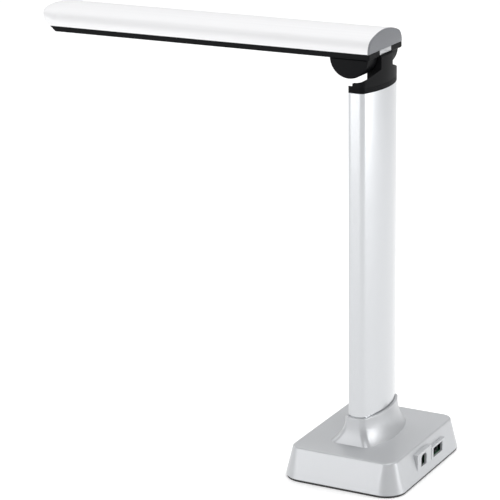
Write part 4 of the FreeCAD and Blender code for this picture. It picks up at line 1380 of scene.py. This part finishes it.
@dataclass
class Optics(SubAssembly):
    """What the arm's underside shows: the lens behind its window, two lamps and the screws."""

    glass_edge: float = 0.0002
    mask_hole: float = 0.0052
    mask_margin: float = 0.0021
    mask_depth: float = 0.0003
    barrel_hole: float = 0.0041
    barrel_depth: float = 0.0022
    barrel_lip: float = 0.0063
    barrel_step: float = 0.0004
    barrel_steps: int = 5
    lamp_corner: float = 0.0011
    lamp_rim: float = 0.0004
    screw_head: tuple[float, float, float] = (0.0026, 0.001, 0.0003)
    screw_shaft: float = 0.00125
    cross: tuple[float, float, float] = (0.0016, 0.0004, 0.0007)

    def build(self) -> None:
        """Make the window, the lens, the lamps and the screws."""
        self.window()
        self.barrel()
        self.lamps()
        self.screws()

    def window(self) -> None:
        """Make the glass window with a black printed ring round the lens."""
        low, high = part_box("lens_window")
        centre = Vector(((low.x + high.x) / 2, 0, 0))
        radius = (high.x - low.x) / 2
        edge = self.glass_edge
        profile = [(0.0, low.z), (radius - edge, low.z), (radius, low.z + edge)]
        profile += [(radius, high.z), (0.0, high.z)]
        self.deliver(spun("lens_window_glass", profile, centre), "optic_glass", "lens_window")
        hole, rim, top = self.mask_hole, radius - self.mask_margin, high.z + self.mask_depth
        ring = [(hole, high.z), (rim, high.z), (rim, top), (hole, top)]
        self.deliver(turned("lens_mask", ring, centre), "black_plastic")

    def barrel(self) -> None:
        """Make the stepped lens barrel and the domed front glass."""
        low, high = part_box("lens_barrel")
        centre = Vector(((low.x + high.x) / 2, 0, 0))
        radius = (high.x - low.x) / 2
        hole, step, depth = self.barrel_hole, self.barrel_step, low.z + self.barrel_depth
        profile = [(hole, depth)]
        for index in range(self.barrel_steps):
            reach, height = hole + step * index, depth - step * index
            profile += [(reach, height), (reach + step, height)]
        profile += [(self.barrel_lip, low.z), (radius, low.z + self.glass_edge)]
        profile += [(radius, high.z), (hole, high.z)]
        self.deliver(turned("lens_barrel_rings", profile, centre), "black_plastic", "lens_barrel")
        low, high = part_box("lens_glass")
        radius = (high.x - low.x) / 2
        turns = [math.radians(angle) for angle in range(0, 91, 9)]
        dome = [(radius * math.sin(a), high.z - (high.z - low.z) * math.cos(a)) for a in turns]
        self.deliver(spun("lens_front_glass", [*dome, (0.0, high.z)], centre), "optic_glass", "lens_glass")

    def lamps(self) -> None:
        """Make the two lamp covers, each with a rounded rim."""
        low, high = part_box("led_diffusers")
        half = (high.x - low.x) / 2
        for sign, side in ((1, "left"), (-1, "right")):
            middle = sign * (high.y - half)
            outline = rounded_box((low.x, middle - half), (high.x, middle + half), [self.lamp_corner])
            lamp = prism(f"{side}_lamp_cover", outline, Axis.Z, low.z, high.z, (self.lamp_rim, 0.0))
            nodes = ("led_diffusers",) if sign > 0 else ()
            self.deliver(lamp, "led_cover", *nodes)

    def screws(self) -> None:
        """Make the tray's screws with crossed slots."""
        low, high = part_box("arm_screws")
        radius, height, rim = self.screw_head
        head = prism("screw", circle((0, 0), radius, 40), Axis.Z, 0.0, height, (rim, 0.0))
        length = high.z - low.z
        shaft_low = height - CLEAR / 10
        shaft = prism("shaft", circle((0, 0), self.screw_shaft, 24), Axis.Z, shaft_low, length, (0.0, rim))
        long, narrow, deep = self.cross
        slots = []
        for x, y in ((long, narrow), (narrow, long)):
            slots.append(Arm.block("slot", (-x, -y, -CLEAR), (x, y, deep)))
        part = carve(head, slots, [shaft], 0.00006)
        finish = self.shop.palette["zinc_steel"]
        screws = self.shop.repeats.set_out("tray_screws", part, screw_spots("arm_screws"), finish)
        self.deliver(screws, "zinc_steel", "arm_screws")


def spun(name: str, profile: Outline, centre: Vector, steps: int = ROUND_STEPS) -> bpy.types.Object:
    """Turn an open profile that starts and ends on the axis into a closed solid."""
    turns = [FULL_TURN * index / steps for index in range(steps)]
    rings = []
    for radius, height in profile:
        reach = max(radius, AXIS_REACH)
        rings.append([centre + Vector((reach * math.cos(a), reach * math.sin(a), height)) for a in turns])
    return loft(name, rings)


@dataclass
class LightButton(SubAssembly):
    """The round button that switches the lamps."""

    face_radius: float = 0.005
    flange_height: float = 0.0008
    dish: Sequence[Point] = (
        (0.0, 0.0004),
        (0.4, 0.00034),
        (0.75, 0.00012),
        (0.9, 0.0),
        (0.97, 0.0001),
        (1.0, 0.0004),
    )

    def build(self) -> None:
        """Make the button with a dished face."""
        low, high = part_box("light_button")
        centre = Vector(((low.x + high.x) / 2, 0, 0))
        flange = (high.x - low.x) / 2
        face = self.face_radius
        shoulder = high.z - self.flange_height
        profile = [(face * share, low.z + rise) for share, rise in self.dish]
        profile += [(face, shoulder), (flange, shoulder), (flange, high.z), (0.0, high.z)]
        self.deliver(spun("lamp_button", profile, centre), "button_grey", "light_button")


# ---------------------------------------------------------------------------- studio
@dataclass(frozen=True)
class Viewpoint:
    """Where the camera stands and how it looks."""

    azimuth: float = 28.641
    elevation: float = 16.837
    roll: float = -0.866
    target: tuple[float, float, float] = (-0.100509, 0.0, 0.14958)
    distance: float = 1.598858
    lens: float = 155.909

    def build(self) -> None:
        """Make the camera and look through it."""
        around, rise = math.radians(self.azimuth), math.radians(self.elevation)
        back = Vector((math.sin(around) * math.cos(rise), -math.cos(around) * math.cos(rise), math.sin(rise)))
        right = Vector((math.cos(around), math.sin(around), 0))
        up = back.cross(right)
        turn = math.radians(self.roll)
        right_rolled = right * math.cos(turn) + up * math.sin(turn)
        up_rolled = up * math.cos(turn) - right * math.sin(turn)
        data = bpy.data.cameras.new("camera")
        data.lens = self.lens
        data.sensor_width = 36.0
        data.clip_start = 0.05
        data.clip_end = 50.0
        camera = bpy.data.objects.new("camera", data)
        bpy.context.scene.collection.objects.link(camera)
        place = Matrix((right_rolled, up_rolled, back)).transposed().to_4x4()
        place.translation = Vector(self.target) + back * self.distance
        camera.matrix_world = place
        bpy.context.scene.camera = camera


@dataclass(frozen=True)
class SoftBox:
    """A large soft lamp that faces the object."""

    name: str
    azimuth: float
    height: float
    distance: float
    size: tuple[float, float]
    power: float

    def build(self, aim: Vector) -> None:
        """Make the lamp and point it at the object."""
        data = bpy.data.lights.new(self.name, "AREA")
        data.shape = "RECTANGLE"
        data.size, data.size_y = self.size
        data.energy = self.power
        lamp = bpy.data.objects.new(self.name, data)
        bpy.context.scene.collection.objects.link(lamp)
        around = math.radians(self.azimuth)
        across, along = math.cos(around) * self.distance, math.sin(around) * self.distance
        lamp.location = Vector((across, along, self.height))
        lamp.rotation_euler = (aim - lamp.location).to_track_quat("-Z", "Y").to_euler()
        lamp.visible_camera = False


@dataclass(frozen=True)
class Studio:
    """A plain pale floor, an even sky and soft lamps around the object."""

    floor_size: float = 40.0
    floor_tone: float = 0.93
    floor_glow: float = 0.22
    sky: float = 0.24
    lamps: Sequence[SoftBox] = (
        SoftBox("top_lamp", 110, 2.2, 0.9, (2.6, 2.6), 37.0),
        SoftBox("left_lamp", -122, 0.45, 1.7, (1.2, 0.9), 9.5),
        SoftBox("right_lamp", 19, 0.45, 1.7, (0.55, 1.0), 12.0),
        SoftBox("rear_lamp", 118, 1.2, 2.6, (2.6, 1.4), 5.0),
        SoftBox("front_lamp", -61, 1.9, 1.6, (1.4, 1.0), 17.0),
        SoftBox("far_left_lamp", 172, 1.0, 2.2, (1.4, 1.2), 9.0),
    )

    def build(self) -> None:
        """Lay the floor, light the sky and set the lamps."""
        half = self.floor_size / 2
        mesh = bpy.data.meshes.new("studio_floor")
        corners_at = [(-half, -half, 0), (half, -half, 0), (half, half, 0), (-half, half, 0)]
        mesh.from_pydata(corners_at, [], [(0, 1, 2, 3)])
        floor = new_object("studio_floor", mesh)
        tone = self.floor_tone
        paper = Moulded("floor_paper", (tone, tone, tone), 0.9, 0, 40, 0.005, 0.0001, 0.05).material()
        surface = paper.node_tree.nodes["Principled BSDF"]
        surface.inputs["Emission Color"].default_value = (1, 1, 1, 1)
        surface.inputs["Emission Strength"].default_value = self.floor_glow
        mesh.materials.append(paper)
        world = bpy.data.worlds.new("studio")
        world.use_nodes = True
        world.node_tree.nodes["Background"].inputs["Color"].default_value = (1, 1, 1, 1)
        world.node_tree.nodes["Background"].inputs["Strength"].default_value = self.sky
        bpy.context.scene.world = world
        bpy.context.scene.view_settings.view_transform = "Standard"
        for lamp in self.lamps:
            lamp.build(Vector((-0.05, 0, 0.18)))


def corners(bounds: Sequence[Vector]) -> list[list[float]]:
    """Turn a box of two vectors into plain lists."""
    return [[float(value) for value in corner] for corner in bounds]


def main() -> None:
    """Load the frame, build every sub-assembly, the camera and the studio."""
    logging.basicConfig(level=logging.INFO, format="%(name)s: %(message)s")
    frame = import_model()
    Viewpoint().build()
    shop = Workshop()
    shop.palette.dress_frame(frame)
    assemblies: list[SubAssembly] = [
        Base(shop, "stand"),
        Sockets(shop, "stand"),
        Column(shop, "stand"),
        Hinge(shop, "stand"),
        Arm(shop, "arm"),
        Optics(shop, "arm"),
        LightButton(shop, "light_button"),
    ]
    for assembly in assemblies:
        assembly.build()
    Studio().build()


if __name__ == "__main__":
    main()
